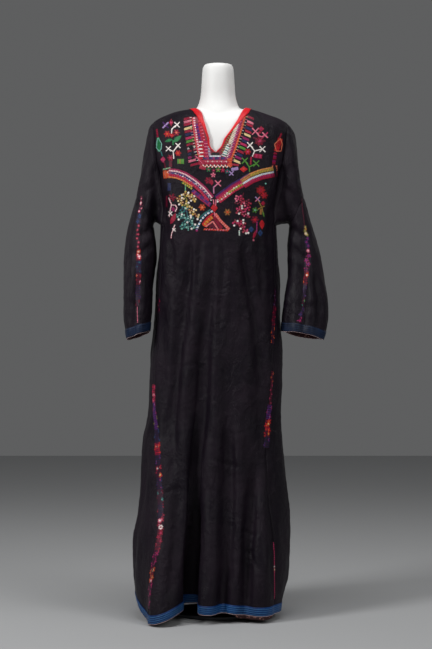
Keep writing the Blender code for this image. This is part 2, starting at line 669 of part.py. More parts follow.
def torso_row(row, front, count):
    """Half of one of the torso's lower rings, from the wearer's right to the left."""
    points = []
    for i in range(count):
        angle = math.pi * (1 - (i + 0.5) / count)
        x = row.width * math.copysign(abs(math.cos(angle)) ** (2 / TORSO_SQUARE), math.cos(angle))
        y = (row.front if front else row.back) * math.sin(angle) ** (2 / TORSO_SQUARE)
        points.append([x, -y if front else y, row.z])
    return points


def form_torso(directions):
    """Rings from the hips to the shoulder line, closed there, and joined with a turned neck."""
    uppers = [[form_row(share, front, directions) for front in (True, False)] for share in FORM_SHARES]
    count = len(uppers[0][0])
    lowers = [[torso_row(row, front, count) for front in (True, False)] for row in TORSO]
    rings = [front + back[::-1] for front, back in lowers + uppers]
    size = 2 * count
    faces = [tuple(reversed(range(size)))]
    for r in range(len(rings) - 1):
        for c in range(size):
            a, b = r * size + c, r * size + (c + 1) % size
            faces += [(a, b, b + size), (a, b + size, a + size)]
    mesh = bpy.data.meshes.new("form_torso")
    mesh.from_pydata([point for ring in rings for point in ring], [], faces)
    finish(mesh)
    torso = add_object("form_torso", mesh, "white")
    neck = turned("neck_shape", NECK, "white")
    neck.location = (NECK_X, NECK_Y, 0)
    neck.hide_render = True
    neck.display_type = "WIRE"
    join = torso.modifiers.new("neck", "BOOLEAN")
    join.operation = "UNION"
    join.object = neck
    return torso


def turned(name, profile, colour):
    """A round piece from its profile, which is listed from the bottom up its outer side."""
    mesh = bpy.data.meshes.new(name)
    points = [(turn.radius, 0, turn.z) for turn in reversed(profile)]
    mesh.from_pydata(points, [(i, i + 1) for i in range(len(points) - 1)], [])
    made = add_object(name, mesh, colour)
    screw = made.modifiers.new("turn", "SCREW")
    screw.steps = screw.render_steps = TURN_SIDES
    screw.use_merge_vertices = True
    screw.merge_threshold = 0.00001
    screw.use_smooth_shade = True
    return made


def stand():
    """The pole with a flange at each end, and the round base plate."""
    low, high = BASE_HEIGHT + STAND_GAP, TORSO[0].z - STAND_GAP
    profile = [Turn(0, low), Turn(FLANGE_RADIUS, low), Turn(FLANGE_RADIUS, low + FLANGE_HEIGHT),
               Turn(POLE_RADIUS, low + 2 * FLANGE_HEIGHT), Turn(POLE_RADIUS, high - 2 * FLANGE_HEIGHT),
               Turn(FLANGE_RADIUS, high - FLANGE_HEIGHT), Turn(FLANGE_RADIUS, high), Turn(0, high)]
    turned("form_pole", profile, "steel")
    bpy.ops.mesh.primitive_cylinder_add(vertices=TURN_SIDES, radius=BASE_RADIUS, depth=BASE_HEIGHT,
                                        location=(0, 0, BASE_HEIGHT / 2))
    base = bpy.context.object
    base.name = base.data.name = "form_base"
    for other in list(base.users_collection):
        other.objects.unlink(base)
    collection.objects.link(base)
    base.data.materials.append(material("steel"))
    edge = base.modifiers.new("rounded_edge", "BEVEL")
    edge.width = BASE_EDGE
    edge.segments = 2


# ---- build --------------------------------------------------------------------------------------
for old in list(bpy.data.objects):
    bpy.data.objects.remove(old)
collection = bpy.data.collections.new("thobe_on_dress_form")
bpy.context.scene.collection.children.link(collection)

HALVES = {side: half_grid(side) for side in (RIGHT, LEFT)}
SKIRT_GRID = skirt_grid()
ACROSS = len(front_shares()) - 1
BACK_START = ACROSS + GORE_COLUMNS
for front_column in range(ACROSS + 1):
    half, column_of_half = (HALVES[RIGHT], front_column) if front_column * 2 <= ACROSS else (
        HALVES[LEFT], front_column - ACROSS // 2)
    SKIRT_GRID[-1, front_column] = half[0, column_of_half]
    SKIRT_GRID[-1, BACK_START + ACROSS - front_column] = half[-1, column_of_half]

LOOPS = {
    LEFT: np.concatenate([HALVES[LEFT][:, -1], SKIRT_GRID[-1, ACROSS + 1:BACK_START][::-1]]),
    RIGHT: np.concatenate([HALVES[RIGHT][:, 0], SKIRT_GRID[-1, BACK_START + ACROSS + 1:]]),
}
SLEEVE_GRIDS = {side: sleeve_grid(loop, side) for side, loop in LOOPS.items()}

DIRECTIONS = Directions()
AXIS = SKIRT_GRID * [0, 0, 1]
DIRECTIONS.add(SKIRT_GRID, True, AXIS)
for half in HALVES.values():
    DIRECTIONS.add(half, False, np.array([0, 0, ARMPIT_Z]))
for grid, _ in SLEEVE_GRIDS.values():
    DIRECTIONS.add(grid, True, grid.mean(axis=1, keepdims=True))

body_pieces(SKIRT_GRID, HALVES, DIRECTIONS)
for side, (grid, top) in SLEEVE_GRIDS.items():
    sleeve_pieces(grid, top, side, DIRECTIONS)
hem_pieces(SKIRT_GRID, DIRECTIONS)
neck_pieces(HALVES, DIRECTIONS)
form_torso(DIRECTIONS)
stand()
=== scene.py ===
# %% [markdown]
# # A black thobe with silk embroidery, on a dress form
# A thobe is a long, loose dress. This one is cut from black cotton sateen: a front that runs over
# the shoulders, a back, a gore in each side, and sleeves in two parts. Silk embroidery covers the
# chest and the seams, and blue ribbon edges the hem and the cuffs.
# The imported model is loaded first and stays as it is. Each cloth piece is then made again as a
# thin sheet in the same place, and hides its plain solid.

# %% Load the frame
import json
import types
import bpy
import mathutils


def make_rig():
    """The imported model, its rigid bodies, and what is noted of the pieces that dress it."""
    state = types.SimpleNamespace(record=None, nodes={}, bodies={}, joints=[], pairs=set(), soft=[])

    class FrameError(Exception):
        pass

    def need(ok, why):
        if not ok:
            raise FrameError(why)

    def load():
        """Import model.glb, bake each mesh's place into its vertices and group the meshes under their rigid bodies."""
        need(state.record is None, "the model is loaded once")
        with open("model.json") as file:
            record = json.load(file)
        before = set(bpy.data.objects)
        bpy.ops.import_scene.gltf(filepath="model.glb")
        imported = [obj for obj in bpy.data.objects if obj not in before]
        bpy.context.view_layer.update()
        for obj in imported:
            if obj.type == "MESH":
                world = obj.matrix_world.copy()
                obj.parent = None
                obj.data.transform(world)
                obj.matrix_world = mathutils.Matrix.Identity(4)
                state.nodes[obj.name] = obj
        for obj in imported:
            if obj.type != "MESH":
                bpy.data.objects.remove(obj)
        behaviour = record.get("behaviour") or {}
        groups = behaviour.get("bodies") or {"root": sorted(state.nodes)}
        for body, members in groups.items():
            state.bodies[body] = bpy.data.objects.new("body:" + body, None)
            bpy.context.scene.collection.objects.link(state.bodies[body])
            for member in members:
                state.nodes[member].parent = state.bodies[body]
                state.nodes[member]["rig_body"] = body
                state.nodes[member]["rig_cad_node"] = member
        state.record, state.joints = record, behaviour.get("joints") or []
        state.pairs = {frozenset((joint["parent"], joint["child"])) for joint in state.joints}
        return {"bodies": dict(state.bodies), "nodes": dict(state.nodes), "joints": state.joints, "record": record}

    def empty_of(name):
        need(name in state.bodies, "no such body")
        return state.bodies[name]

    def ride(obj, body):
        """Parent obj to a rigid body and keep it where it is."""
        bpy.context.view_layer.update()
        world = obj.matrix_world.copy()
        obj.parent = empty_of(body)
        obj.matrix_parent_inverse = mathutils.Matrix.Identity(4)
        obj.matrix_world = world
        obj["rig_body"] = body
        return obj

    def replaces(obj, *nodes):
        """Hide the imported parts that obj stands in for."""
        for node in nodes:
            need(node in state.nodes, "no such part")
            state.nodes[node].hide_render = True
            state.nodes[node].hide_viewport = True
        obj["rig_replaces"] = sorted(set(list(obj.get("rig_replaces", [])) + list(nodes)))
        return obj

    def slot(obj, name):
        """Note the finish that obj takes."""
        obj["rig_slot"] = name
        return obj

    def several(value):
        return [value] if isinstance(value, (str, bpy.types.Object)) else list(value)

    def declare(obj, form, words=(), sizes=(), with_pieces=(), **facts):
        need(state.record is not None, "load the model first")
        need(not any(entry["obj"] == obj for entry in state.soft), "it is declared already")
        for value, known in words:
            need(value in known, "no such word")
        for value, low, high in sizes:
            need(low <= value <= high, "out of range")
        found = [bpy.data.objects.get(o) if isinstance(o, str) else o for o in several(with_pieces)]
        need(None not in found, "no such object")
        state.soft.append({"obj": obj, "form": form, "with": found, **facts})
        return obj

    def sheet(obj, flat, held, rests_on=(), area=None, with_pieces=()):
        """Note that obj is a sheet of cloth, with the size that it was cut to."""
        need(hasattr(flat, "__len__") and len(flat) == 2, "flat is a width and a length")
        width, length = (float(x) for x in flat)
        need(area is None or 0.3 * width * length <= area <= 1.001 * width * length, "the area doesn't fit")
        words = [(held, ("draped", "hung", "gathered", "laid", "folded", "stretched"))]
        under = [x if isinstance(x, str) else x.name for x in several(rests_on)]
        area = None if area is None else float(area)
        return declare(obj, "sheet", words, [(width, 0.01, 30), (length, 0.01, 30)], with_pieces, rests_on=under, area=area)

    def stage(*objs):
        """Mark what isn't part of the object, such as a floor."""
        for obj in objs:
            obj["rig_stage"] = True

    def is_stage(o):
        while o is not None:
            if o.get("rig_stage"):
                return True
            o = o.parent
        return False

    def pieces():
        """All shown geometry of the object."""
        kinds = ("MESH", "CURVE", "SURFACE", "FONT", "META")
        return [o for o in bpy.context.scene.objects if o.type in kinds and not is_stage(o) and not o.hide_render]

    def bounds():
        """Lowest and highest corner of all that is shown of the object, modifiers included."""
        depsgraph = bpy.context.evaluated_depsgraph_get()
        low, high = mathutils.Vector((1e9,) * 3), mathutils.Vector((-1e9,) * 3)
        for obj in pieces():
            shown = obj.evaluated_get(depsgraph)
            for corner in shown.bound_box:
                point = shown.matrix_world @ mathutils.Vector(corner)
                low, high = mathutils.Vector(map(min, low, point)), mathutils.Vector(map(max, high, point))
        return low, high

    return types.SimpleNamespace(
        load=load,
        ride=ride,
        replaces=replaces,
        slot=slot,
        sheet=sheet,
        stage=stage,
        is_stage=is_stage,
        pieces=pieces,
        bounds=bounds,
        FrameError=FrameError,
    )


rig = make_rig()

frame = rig.load()

from collections import namedtuple
import json
import math
import random

import bpy
import numpy as np
from mathutils import Vector, noise
from mathutils.bvhtree import BVHTree
from mathutils.kdtree import KDTree

CAD_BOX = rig.bounds()
RIGHT, LEFT = -1, 1      # sign of X on the wearer's two sides
SIDE_NAMES = {RIGHT: "right", LEFT: "left"}
print("the packed model spans", [round(high - low, 3) for low, high in zip(*CAD_BOX)], "m")

# %% [markdown]
# ## Small helpers
# The dress is drawn with a few tables of real sizes, in metres. Each is written out as plain lines,
# with a value for each named column, because that is the easiest to read and to change. A smooth
# curve runs through the rows of a table, and a soft step fades one shape into another. Both work on
# whole arrays at once, because a sheet has tens of thousands of points.

# %% Curves and soft steps
def curve(at, stations, values):
    """Value at each place on a smooth curve through the stations, without overshoot."""
    stations, values = np.asarray(stations, float), np.asarray(values, float)
    slopes = np.diff(values) / np.diff(stations)
    tangents = np.concatenate([slopes[:1], (slopes[1:] + slopes[:-1]) / 2, slopes[-1:]])
    tangents[1:-1][slopes[1:] * slopes[:-1] <= 0] = 0
    i = np.clip(np.searchsorted(stations, at) - 1, 0, len(stations) - 2)
    span = stations[i + 1] - stations[i]
    u = np.clip((at - stations[i]) / span, 0, 1)
    return ((2 * u**3 - 3 * u**2 + 1) * values[i] + (u**3 - 2 * u**2 + u) * span * tangents[i]
            + (3 * u**2 - 2 * u**3) * values[i + 1] + (u**3 - u**2) * span * tangents[i + 1])


def cell(word):
    """A number, a name, several of them joined by commas, or places joined by semicolons."""
    if ";" in word:
        return [cell(part) for part in word.split(";")]
    if "," in word:
        return tuple(cell(part) for part in word.split(","))
    for kind in (int, float):
        try:
            return kind(word)
        except ValueError:
            pass
    return word


def table(columns, text):
    """Rows with named columns, from lines written out as text. A line that starts with # is a note,
    and one that starts with = holds the first values of every line under it."""
    kind = namedtuple("Row", columns) if isinstance(columns, str) else columns
    rows, shared = [], []
    for words in map(str.split, text.strip().split("\n")):
        if words[0] == "=":
            shared = words[1:]
        elif words[0] != "#":
            rows.append(kind(*map(cell, shared + words)))
    return rows


def column(rows, name, at, key="z"):
    """A named column of a table, read at places between its rows."""
    rows = sorted(rows, key=lambda row: getattr(row, key))
    return curve(at, [getattr(row, key) for row in rows], [getattr(row, name) for row in rows])


def fade(value, start, end):
    """0 before start, 1 after end, and a soft step between."""
    u = np.clip((np.asarray(value, float) - start) / (end - start), 0, 1)
    return u * u * (3 - 2 * u)


def unit(vectors):
    return vectors / np.maximum(np.linalg.norm(vectors, axis=-1, keepdims=True), 1e-9)


def new_object(name, data):
    """An object of some data, put into the scene."""
    made = bpy.data.objects.new(name, data)
    bpy.context.scene.collection.objects.link(made)
    return made


print("a soft step from 0 to 1 passes", [round(float(fade(v, 0, 1)), 2) for v in (0.25, 0.5, 0.75)])

# %% [markdown]
# ## The camera, the light and the floor
# A garment is shown with a long lens from chest height, so that its sides stay parallel. Black
# cloth shows its folds only by their soft shine, so broad lights stand on both sides and above.

# %% Camera
CAMERA_PLACE = (-0.0028, -5.0, 0.808)
LENS_MM = 99.07

camera = new_object("camera", bpy.data.cameras.new("camera"))
camera.data.lens = LENS_MM
camera.data.sensor_width = 36
camera.location = CAMERA_PLACE
camera.rotation_euler = (math.pi / 2, 0, 0)
bpy.context.scene.camera = camera
print("lens", LENS_MM, "mm, camera", abs(CAMERA_PLACE[1]), "m away")


# %% Soft studio light
CHEST = (0, 0, 0.95)
LAMPS = table("name place size watts", """
key -2.5,-2.1,2.5 .9,1.5 84
fill 2.3,-2.6,2.1 1.2,1.8 29
top .2,-.6,3.2 1.4,1 30
rim_right -2,1.8,1.9 .8,1.8 3
rim_left 2,1.8,1.9 .8,1.8 3
""")
ROOM_LIGHT, ROOM_STRENGTH = (0.86, 0.87, 0.88, 1), 0.13


def soft_light(name, place, size, watts):
    """A broad lamp that faces the chest."""
    lamp = bpy.data.lights.new(name, "AREA")
    lamp.shape = "RECTANGLE"
    lamp.size, lamp.size_y = size
    lamp.energy = watts
    made = new_object(name, lamp)
    made.location = place
    made.rotation_euler = (Vector(CHEST) - Vector(place)).to_track_quat("-Z", "Y").to_euler()


for lamp in LAMPS:
    soft_light(*lamp)
world = bpy.data.worlds.new("studio")
world.use_nodes = True
world.node_tree.nodes["Background"].inputs["Color"].default_value = ROOM_LIGHT
world.node_tree.nodes["Background"].inputs["Strength"].default_value = ROOM_STRENGTH
bpy.context.scene.world = world
bpy.context.scene.view_settings.view_transform = "Standard"
print(len(LAMPS), "soft lights of", sum(lamp.watts for lamp in LAMPS), "W in all")

# %% Floor
FLOOR_HALF, FLOOR_Z = 6.0, -0.0005
CORNERS = ((-1, -1), (1, -1), (1, 1), (-1, 1))
floor = new_object("floor", bpy.data.meshes.new("floor"))
floor.data.from_pydata([(x * FLOOR_HALF, y * FLOOR_HALF, FLOOR_Z) for x, y in CORNERS], [], [(0, 1, 2, 3)])
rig.stage(floor)
print("the floor is", 2 * FLOOR_HALF, "m wide")

# %% [markdown]
# ## Building materials from nodes
# A material is a graph of nodes. One helper adds a node and wires it: an input given as another
# node's output is linked, and any other value is set. What several materials share, such as the
# weave, is a node group, built once with named inputs and outputs.

# %% Node helpers
def node(tree, kind, inputs=(), **settings):
    """A new node. Inputs are linked where their value is an output, and set where it isn't."""
    made = tree.nodes.new(kind)
    for name, value in settings.items():
        setattr(made, name, value)
    for key, value in dict(inputs).items():
        if isinstance(value, bpy.types.NodeSocket):
            tree.links.new(value, made.inputs[key])
        else:
            made.inputs[key].default_value = value
    return made


def maths(tree, operation, *values):
    """One step of arithmetic on sockets or numbers."""
    return node(tree, "ShaderNodeMath", dict(enumerate(values)), operation=operation).outputs[0]


def mix_colour(tree, share, first, second, blend="MIX"):
    made = node(tree, "ShaderNodeMix", {0: share, 6: first, 7: second}, data_type="RGBA", blend_type=blend)
    return made.outputs[2]


def shader_group(name, inputs, outputs):
    """An empty node group with named sockets, given as (name, type, default)."""
    tree = bpy.data.node_groups.new(name, "ShaderNodeTree")
    for label, kind, value in inputs:
        socket = tree.interface.new_socket(label, in_out="INPUT", socket_type=f"NodeSocket{kind}")
        if value is not None:
            socket.default_value = value
    for label, kind in outputs:
        tree.interface.new_socket(label, in_out="OUTPUT", socket_type=f"NodeSocket{kind}")
    return tree, node(tree, "NodeGroupInput").outputs, node(tree, "NodeGroupOutput").inputs


def use_group(tree, group, **inputs):
    """A node that uses a group. An input's name has _ for a space."""
    wired = {name.replace("_", " "): value for name, value in inputs.items()}
    return node(tree, "ShaderNodeGroup", wired, node_tree=group).outputs


def new_material(name, rough, **shader_values):
    """A material with its Principled shader's plain values set. Returns it, its tree and shader."""
    made = bpy.data.materials.new(name)
    made.use_nodes = True
    shader = made.node_tree.nodes["Principled BSDF"]
    shader.inputs["Roughness"].default_value = rough
    for key, value in shader_values.items():
        shader.inputs[key.replace("_", " ")].default_value = value
    return made, made.node_tree, shader


print("node helpers are ready")

# %% [markdown]
# ## Shared effects: weave and wear
# Woven cloth is threads that pass over and under each other. Two sine waves, one along each
# direction of the cloth's own map, give that grid of small crowns. Wear is slower: patches where
# the dye has rubbed paler, with some lint on them.

# %% Weave and wear groups
WEAVE, inside, out = shader_group(
    "woven threads",
    [("Cloth map", "Vector", None), ("Threads per metre", "Float", 1500.0), ("Slant", "Float", 0.0)],
    [("Height", "Float"), ("Crown", "Float")])
parts = node(WEAVE, "ShaderNodeSeparateXYZ", {0: inside["Cloth map"]}).outputs
turns = maths(WEAVE, "MULTIPLY", inside["Threads per metre"], math.pi)
slanted = maths(WEAVE, "ADD", parts[0], maths(WEAVE, "MULTIPLY", parts[1], inside["Slant"]))
warp = maths(WEAVE, "ABSOLUTE", maths(WEAVE, "SINE", maths(WEAVE, "MULTIPLY", slanted, turns)))
weft = maths(WEAVE, "ABSOLUTE", maths(WEAVE, "SINE", maths(WEAVE, "MULTIPLY", parts[1], turns)))
crown = maths(WEAVE, "MAXIMUM", warp, maths(WEAVE, "MULTIPLY", weft, 0.8))
WEAVE.links.new(crown, out["Crown"])
slub = node(WEAVE, "ShaderNodeTexNoise", {"Vector": inside["Cloth map"], "Scale": 220.0, "Detail": 2.0})
WEAVE.links.new(maths(WEAVE, "ADD", crown, slub.outputs[0]), out["Height"])

WEAR, inside, out = shader_group(
    "rubbed patches",
    [("Place", "Vector", None), ("Patch scale", "Float", 9.0), ("Lint scale", "Float", 260.0)],
    [("Patches", "Float"), ("Lint", "Float")])
patches = node(WEAR, "ShaderNodeTexNoise", {"Vector": inside["Place"], "Scale": inside["Patch scale"],
                                            "Detail": 5.0, "Roughness": 0.6})
WEAR.links.new(node(WEAR, "ShaderNodeMapRange", {0: patches.outputs[0], 1: 0.42, 2: 0.68}).outputs[0],
               out["Patches"])
specks = node(WEAR, "ShaderNodeTexNoise", {"Vector": inside["Place"], "Scale": inside["Lint scale"],
                                           "Detail": 2.0})
WEAR.links.new(node(WEAR, "ShaderNodeMapRange", {0: specks.outputs[0], 1: 0.62, 2: 0.72}).outputs[0],
               out["Lint"])
print("shared effects:", WEAVE.name, "and", WEAR.name)


# %% [markdown]
# ## Black cotton
# The sateen is nearly black, with a warm purple-brown where light grazes it. Old dye has rubbed
# paler in patches. Its gloss is faint, as on cotton that has been washed and worn for years.

# %% Black cotton
RELIEF = 0.35                        # how strongly the weave and other fine relief catch the light


def cloth_height(tree, shader, height, distance, under=None):
    """Raises the shader's normal from a height map, on top of a coarser one if there is one."""
    bump = node(tree, "ShaderNodeBump", {"Height": height, "Distance": distance, "Strength": RELIEF})
    if under is not None:
        tree.links.new(under, bump.inputs["Normal"])
    tree.links.new(bump.outputs[0], shader.inputs["Normal"])


CRUMPLE, inside, out = shader_group(
    "small creases of worn cloth",
    [("Place", "Vector", None), ("Crease scale", "Float", 26.0)],
    [("Height", "Float")])
squeezed = node(CRUMPLE, "ShaderNodeMapping", {"Vector": inside["Place"], "Scale": (1.0, 1.0, 0.62)})
waves = node(CRUMPLE, "ShaderNodeTexNoise", {"Vector": squeezed.outputs[0], "Scale": inside["Crease scale"],
                                             "Detail": 7.0, "Roughness": 0.62, "Distortion": 0.6})
folded = maths(CRUMPLE, "ABSOLUTE", maths(CRUMPLE, "SUBTRACT", waves.outputs[0], 0.5))
CRUMPLE.links.new(maths(CRUMPLE, "ADD", maths(CRUMPLE, "MULTIPLY", folded, 1.2), waves.outputs[0]),
                  out["Height"])


def cloth_nodes(tree, threads, slant=0.0):
    """What every cloth starts from: its coordinates, its wear and its weave."""
    coordinates = node(tree, "ShaderNodeTexCoord").outputs
    wear = use_group(tree, WEAR, Place=coordinates["Object"])
    return coordinates, wear, use_group(tree, WEAVE, Cloth_map=coordinates["UV"],
                                        Threads_per_metre=threads, Slant=slant)


def black_cotton():
    made, tree, shader = new_material("black_cotton_sateen", 0.62, Specular_IOR_Level=0.12)
    coordinates, wear, weave = cloth_nodes(tree, 1300.0, 0.35)
    dyed = mix_colour(tree, wear["Patches"], (0.0046, 0.0030, 0.0062, 1), (0.0125, 0.0076, 0.0130, 1))
    linty = mix_colour(tree, maths(tree, "MULTIPLY", wear["Lint"], 0.10), dyed, (0.16, 0.13, 0.15, 1))
    grain = mix_colour(tree, maths(tree, "MULTIPLY", weave["Crown"], 0.20), linty, (0.018, 0.012, 0.018, 1))
    tree.links.new(grain, shader.inputs["Base Color"])
    rough = maths(tree, "ADD", 0.46, maths(tree, "MULTIPLY", wear["Patches"], 0.16))
    tree.links.new(rough, shader.inputs["Roughness"])
    crumple = use_group(tree, CRUMPLE, Place=coordinates["Object"])
    creased = node(tree, "ShaderNodeBump", {"Height": crumple["Height"], "Distance": 0.012, "Strength": 0.45})
    cloth_height(tree, shader, weave["Height"], 0.0003, under=creased.outputs[0])
    return made


BLACK_COTTON = black_cotton()
print("made", BLACK_COTTON.name)

# %% Plain pale floor
floor_paint, tree, shader = new_material("pale_floor", 0.9)
shader.inputs["Base Color"].default_value = (0.42, 0.425, 0.43, 1)
floor.data.materials.append(floor_paint)
print("made", floor_paint.name)

# %% [markdown]
# ## The cut of the skirt
# Seen from above, the skirt at each height is a soft rectangle: so far to the wearer's right and
# left, so far to the front and back, with round corners. Folds are long grooves in it. Where a
# fold's depth is negative the cloth stands out as a ridge. These sizes are the ones that the solids
# were cut to, so that the sheets lie where the solids are.

# %% Skirt tables
ARMPIT_Z = 1.085
HEM_BAND_HEIGHT = 0.024
BINDING_WIDTH = 0.006

SKIRT = table("z right left front back square", """
0 .224 .178 .185 .185 2.8
.024 .228 .181 .185 .183 2.8
.092 .233 .197 .182 .18 2.7
.204 .232 .203 .172 .17 2.6
.288 .22 .201 .162 .16 2.5
.372 .213 .193 .153 .15 2.4
.484 .206 .183 .144 .14 2.4
.568 .19 .179 .138 .133 2.4
.652 .187 .183 .134 .127 2.4
.736 .184 .184 .131 .121 2.4
.792 .178 .179 .129 .117 2.4
.876 .171 .176 .127 .112 2.4
.944 .168 .174 .128 .108 2.4
1.016 .16 .168 .129 .106 2.5
1.085 .158 .166 .127 .105 2.6
""")

FRONT_SEAMS = table("z right left", """
0 -.164 .15
.05 -.161 .154
.15 -.154 .156
.24 -.142 .152
.33 -.146 .142
.44 -.159 .138
.53 -.168 .142
.63 -.175 .151
.75 -.171 .154
.9 -.159 .162
1 -.152 .16
1.085 -.149 .157
""")
print("the front is", round(FRONT_SEAMS[0].left - FRONT_SEAMS[0].right, 3), "m wide at the hem and",
      round(FRONT_SEAMS[-1].left - FRONT_SEAMS[-1].right, 3), "m at the armpits")

# %% The hem's line, round the skirt from the wearer's left
HEM_LIFT = table("degrees height", """
0 .014
35 .02
60 .021
85 .029
100 .027
110 .042
117 .038
126 .014
136 .004
144 .01
154 .03
166 .041
182 .042
205 .03
230 .014
270 .012
315 .013
360 .014
""")
LIFT_FADES_AT = 0.33
FACING_DROP = 0.011
FACING_DROPS = (36, 50, 70, 80)
print("the hem rises", max(row.height for row in HEM_LIFT), "m where the dress hangs highest")

# %% The long folds
FOLDS = table("face top_z top_at mid_z mid_at low_z low_at mid_depth low_depth mid_width low_width", """
= front
1.05 -.072 .64 -.108 .3 -.12 .012 .004 .017 .022
1.055 -.014 .49 -.038 0 -.07 .02 .072 .017 .021
1.05 .069 .7 .118 .3 .12 .008 0 .02 .025
.72 .02 .32 .042 0 .012 .014 .016 .016 .018
.56 .106 .24 .084 0 .078 .01 .014 .016 .018
.5 -.135 .25 -.146 0 -.132 -.03 -.078 .045 .038
.45 -.005 .2 -.008 0 -.022 -.01 -.016 .02 .02
.42 .13 .18 .125 0 .122 -.012 -.022 .03 .028
= back
1.02 -.08 .6 -.09 0 -.1 .012 .034 .02 .024
1.03 -.02 .56 -.016 0 -.026 .014 .04 .018 .024
1 .05 .62 .06 0 .052 .012 .036 .019 .022
.7 .1 .35 .112 0 .118 .01 .022 .018 .02
= right
.62 .02 .3 .03 0 .035 .01 .022 .02 .022
= left
.76 0 .35 .01 0 .012 .01 .02 .02 .022
""")
FOLD_FROM_Y, FOLD_FROM_X = (0, 0.05), (0.10, 0.15)   # from the sides, or from the middle, it grows in
FOLD_END = 0.12                      # height over which a fold that stops above the hem fades out
print(len(FOLDS), "long folds in a skirt", round(SKIRT[0].right + SKIRT[0].left, 3), "m wide at the hem")


# %% A point of the skirt
def reach(z, x):
    return np.where(x < 0, column(SKIRT, "right", z), column(SKIRT, "left", z))


def depth_of(z, y):
    return np.where(y < 0, column(SKIRT, "front", z), column(SKIRT, "back", z))


def ring_y(z, x, front):
    """How far the plain cloth lies from the middle plane at x."""
    power = column(SKIRT, "square", z)
    share = np.minimum(np.abs(x) / reach(z, x), 1)
    return column(SKIRT, "front" if front else "back", z) * (1 - share**power) ** (1 / power)


def fold_depth(x, y, z):
    """How far the long folds press the cloth in."""
    total = np.zeros_like(x)
    for fold in FOLDS:
        if fold.face in ("front", "back"):
            faces = y < 0 if fold.face == "front" else y > 0
            along, strength = x, fade(np.abs(y), *FOLD_FROM_Y)
        else:
            faces = x < 0 if fold.face == "right" else x > 0
            along, strength = y, fade(np.abs(x), *FOLD_FROM_X)
        stations = [fold.low_z, fold.mid_z, fold.top_z]
        place = curve(z, stations, [fold.low_at, fold.mid_at, fold.top_at])
        depth = curve(z, stations, [fold.low_depth, fold.mid_depth, 0])
        width = curve(z, stations, [fold.low_width, fold.mid_width, fold.mid_width])
        below = fade(z, fold.low_z - FOLD_END, fold.low_z) if fold.low_z > 0 else 1
        shape = np.exp(-(((along - place) / width) ** 2))
        total += faces * (z < fold.top_z) * strength * below * depth * shape
    return total


def hem_lift(x, y, z):
    degrees = np.degrees(np.arctan2(-y, x)) % 360
    return column(HEM_LIFT, "height", degrees, key="degrees") * (1 - fade(z, 0, LIFT_FADES_AT))


def skirt_points(x, y, z):
    """Points of the plain rings, with the folds pressed in and the hem lifted."""
    power = column(SKIRT, "square", z)
    wide, deep = reach(z, x), depth_of(z, y)
    out = np.stack([np.sign(x) * (np.abs(x) / wide) ** (power - 1) / wide,
                    np.sign(y) * (np.abs(y) / deep) ** (power - 1) / deep], -1)
    out = unit(out)
    pressed = fold_depth(x, y, z)
    return np.stack([x - pressed * out[..., 0], y - pressed * out[..., 1], z + hem_lift(x, y, z)], -1)


sample = skirt_points(np.array([0.0]), np.array([-0.13]), np.array([0.6]))[0]
print("the front cloth at 0.6 m passes", sample.round(3))

# %% [markdown]
# ## The cut of the bodice and the sleeves
# Above the armpits the front and back lie on the chest and roll over the shoulders. The neck is a
# deep V in front. Each sleeve is a tube of rings, from the armhole to the cuff. A ring is given by
# its lower and upper line, its middle and its half depth.

# %% Shoulders and armholes
SHOULDER_LINE = table("x z", """
-.186 1.366
-.168 1.38
-.132 1.396
-.076 1.41
0 1.414
.085 1.411
.129 1.398
.179 1.38
.204 1.366
""")
SHOULDER_ROUND = 3.0
Armhole = namedtuple("Armhole", "low_x high_x high_z")
ARMHOLES = {RIGHT: Armhole(-0.149, -0.180, 1.371), LEFT: Armhole(0.157, 0.198, 1.371)}
print("the shoulders are", SHOULDER_LINE[-1].x - SHOULDER_LINE[0].x, "m wide")

# %% The neck's edges and the braids beside them
FRONT_ROWS = table("share edge_right edge_left braid_right braid_left", """
0 0 0 -.045 .045
.13 -.001 -.001 -.043 .044
.26 -.003 -.003 -.041 .043
.39 -.005 -.005 -.04 .042
.511 -.006 -.006 -.04 .042
.606 -.006 -.006 -.043 .04
.622 -.02 .008 -.046 .037
.72 -.029 .025 -.058 .056
.81 -.038 .042 -.065 .067
.88 -.046 .057 -.07 .074
.93 -.055 .069 -.076 .083
.965 -.063 .077 -.083 .09
.988 -.071 .082 -.088 .095
1 -.076 .085 -.091 .098
""")
BACK_ROWS = table("share edge_right edge_left braid_right braid_left", """
1 -.076 .085 -.091 .098
.988 -.073 .083 -.09 .096
.965 -.066 .076 -.083 .091
.93 -.05 .06 -.07 .078
.88 .004 .004 -.05 .056
.8 .004 .004 -.045 .051
.68 .003 .003 -.044 .049
.54 .002 .002 -.044 .047
.4 .001 .001 -.044 .046
.26 .001 .001 -.045 .046
.13 0 0 -.045 .045
0 0 0 -.045 .045
""")
V_BOTTOM, V_OPENS = 0.606, 0.622     # share of the height where the neck's V ends and where it is open
BACK_NECK, BACK_OPENS = 0.880, 0.930   # the same for the back's neckline
BAR_BOTTOM = 0.511                   # lower edge of the braid's bar under the V
SHOULDER_SEAM = 0.988                # the front's cloth ends here, just behind the shoulder
print("the neck is", round(FRONT_ROWS[-1].edge_left - FRONT_ROWS[-1].edge_right, 3), "m wide")

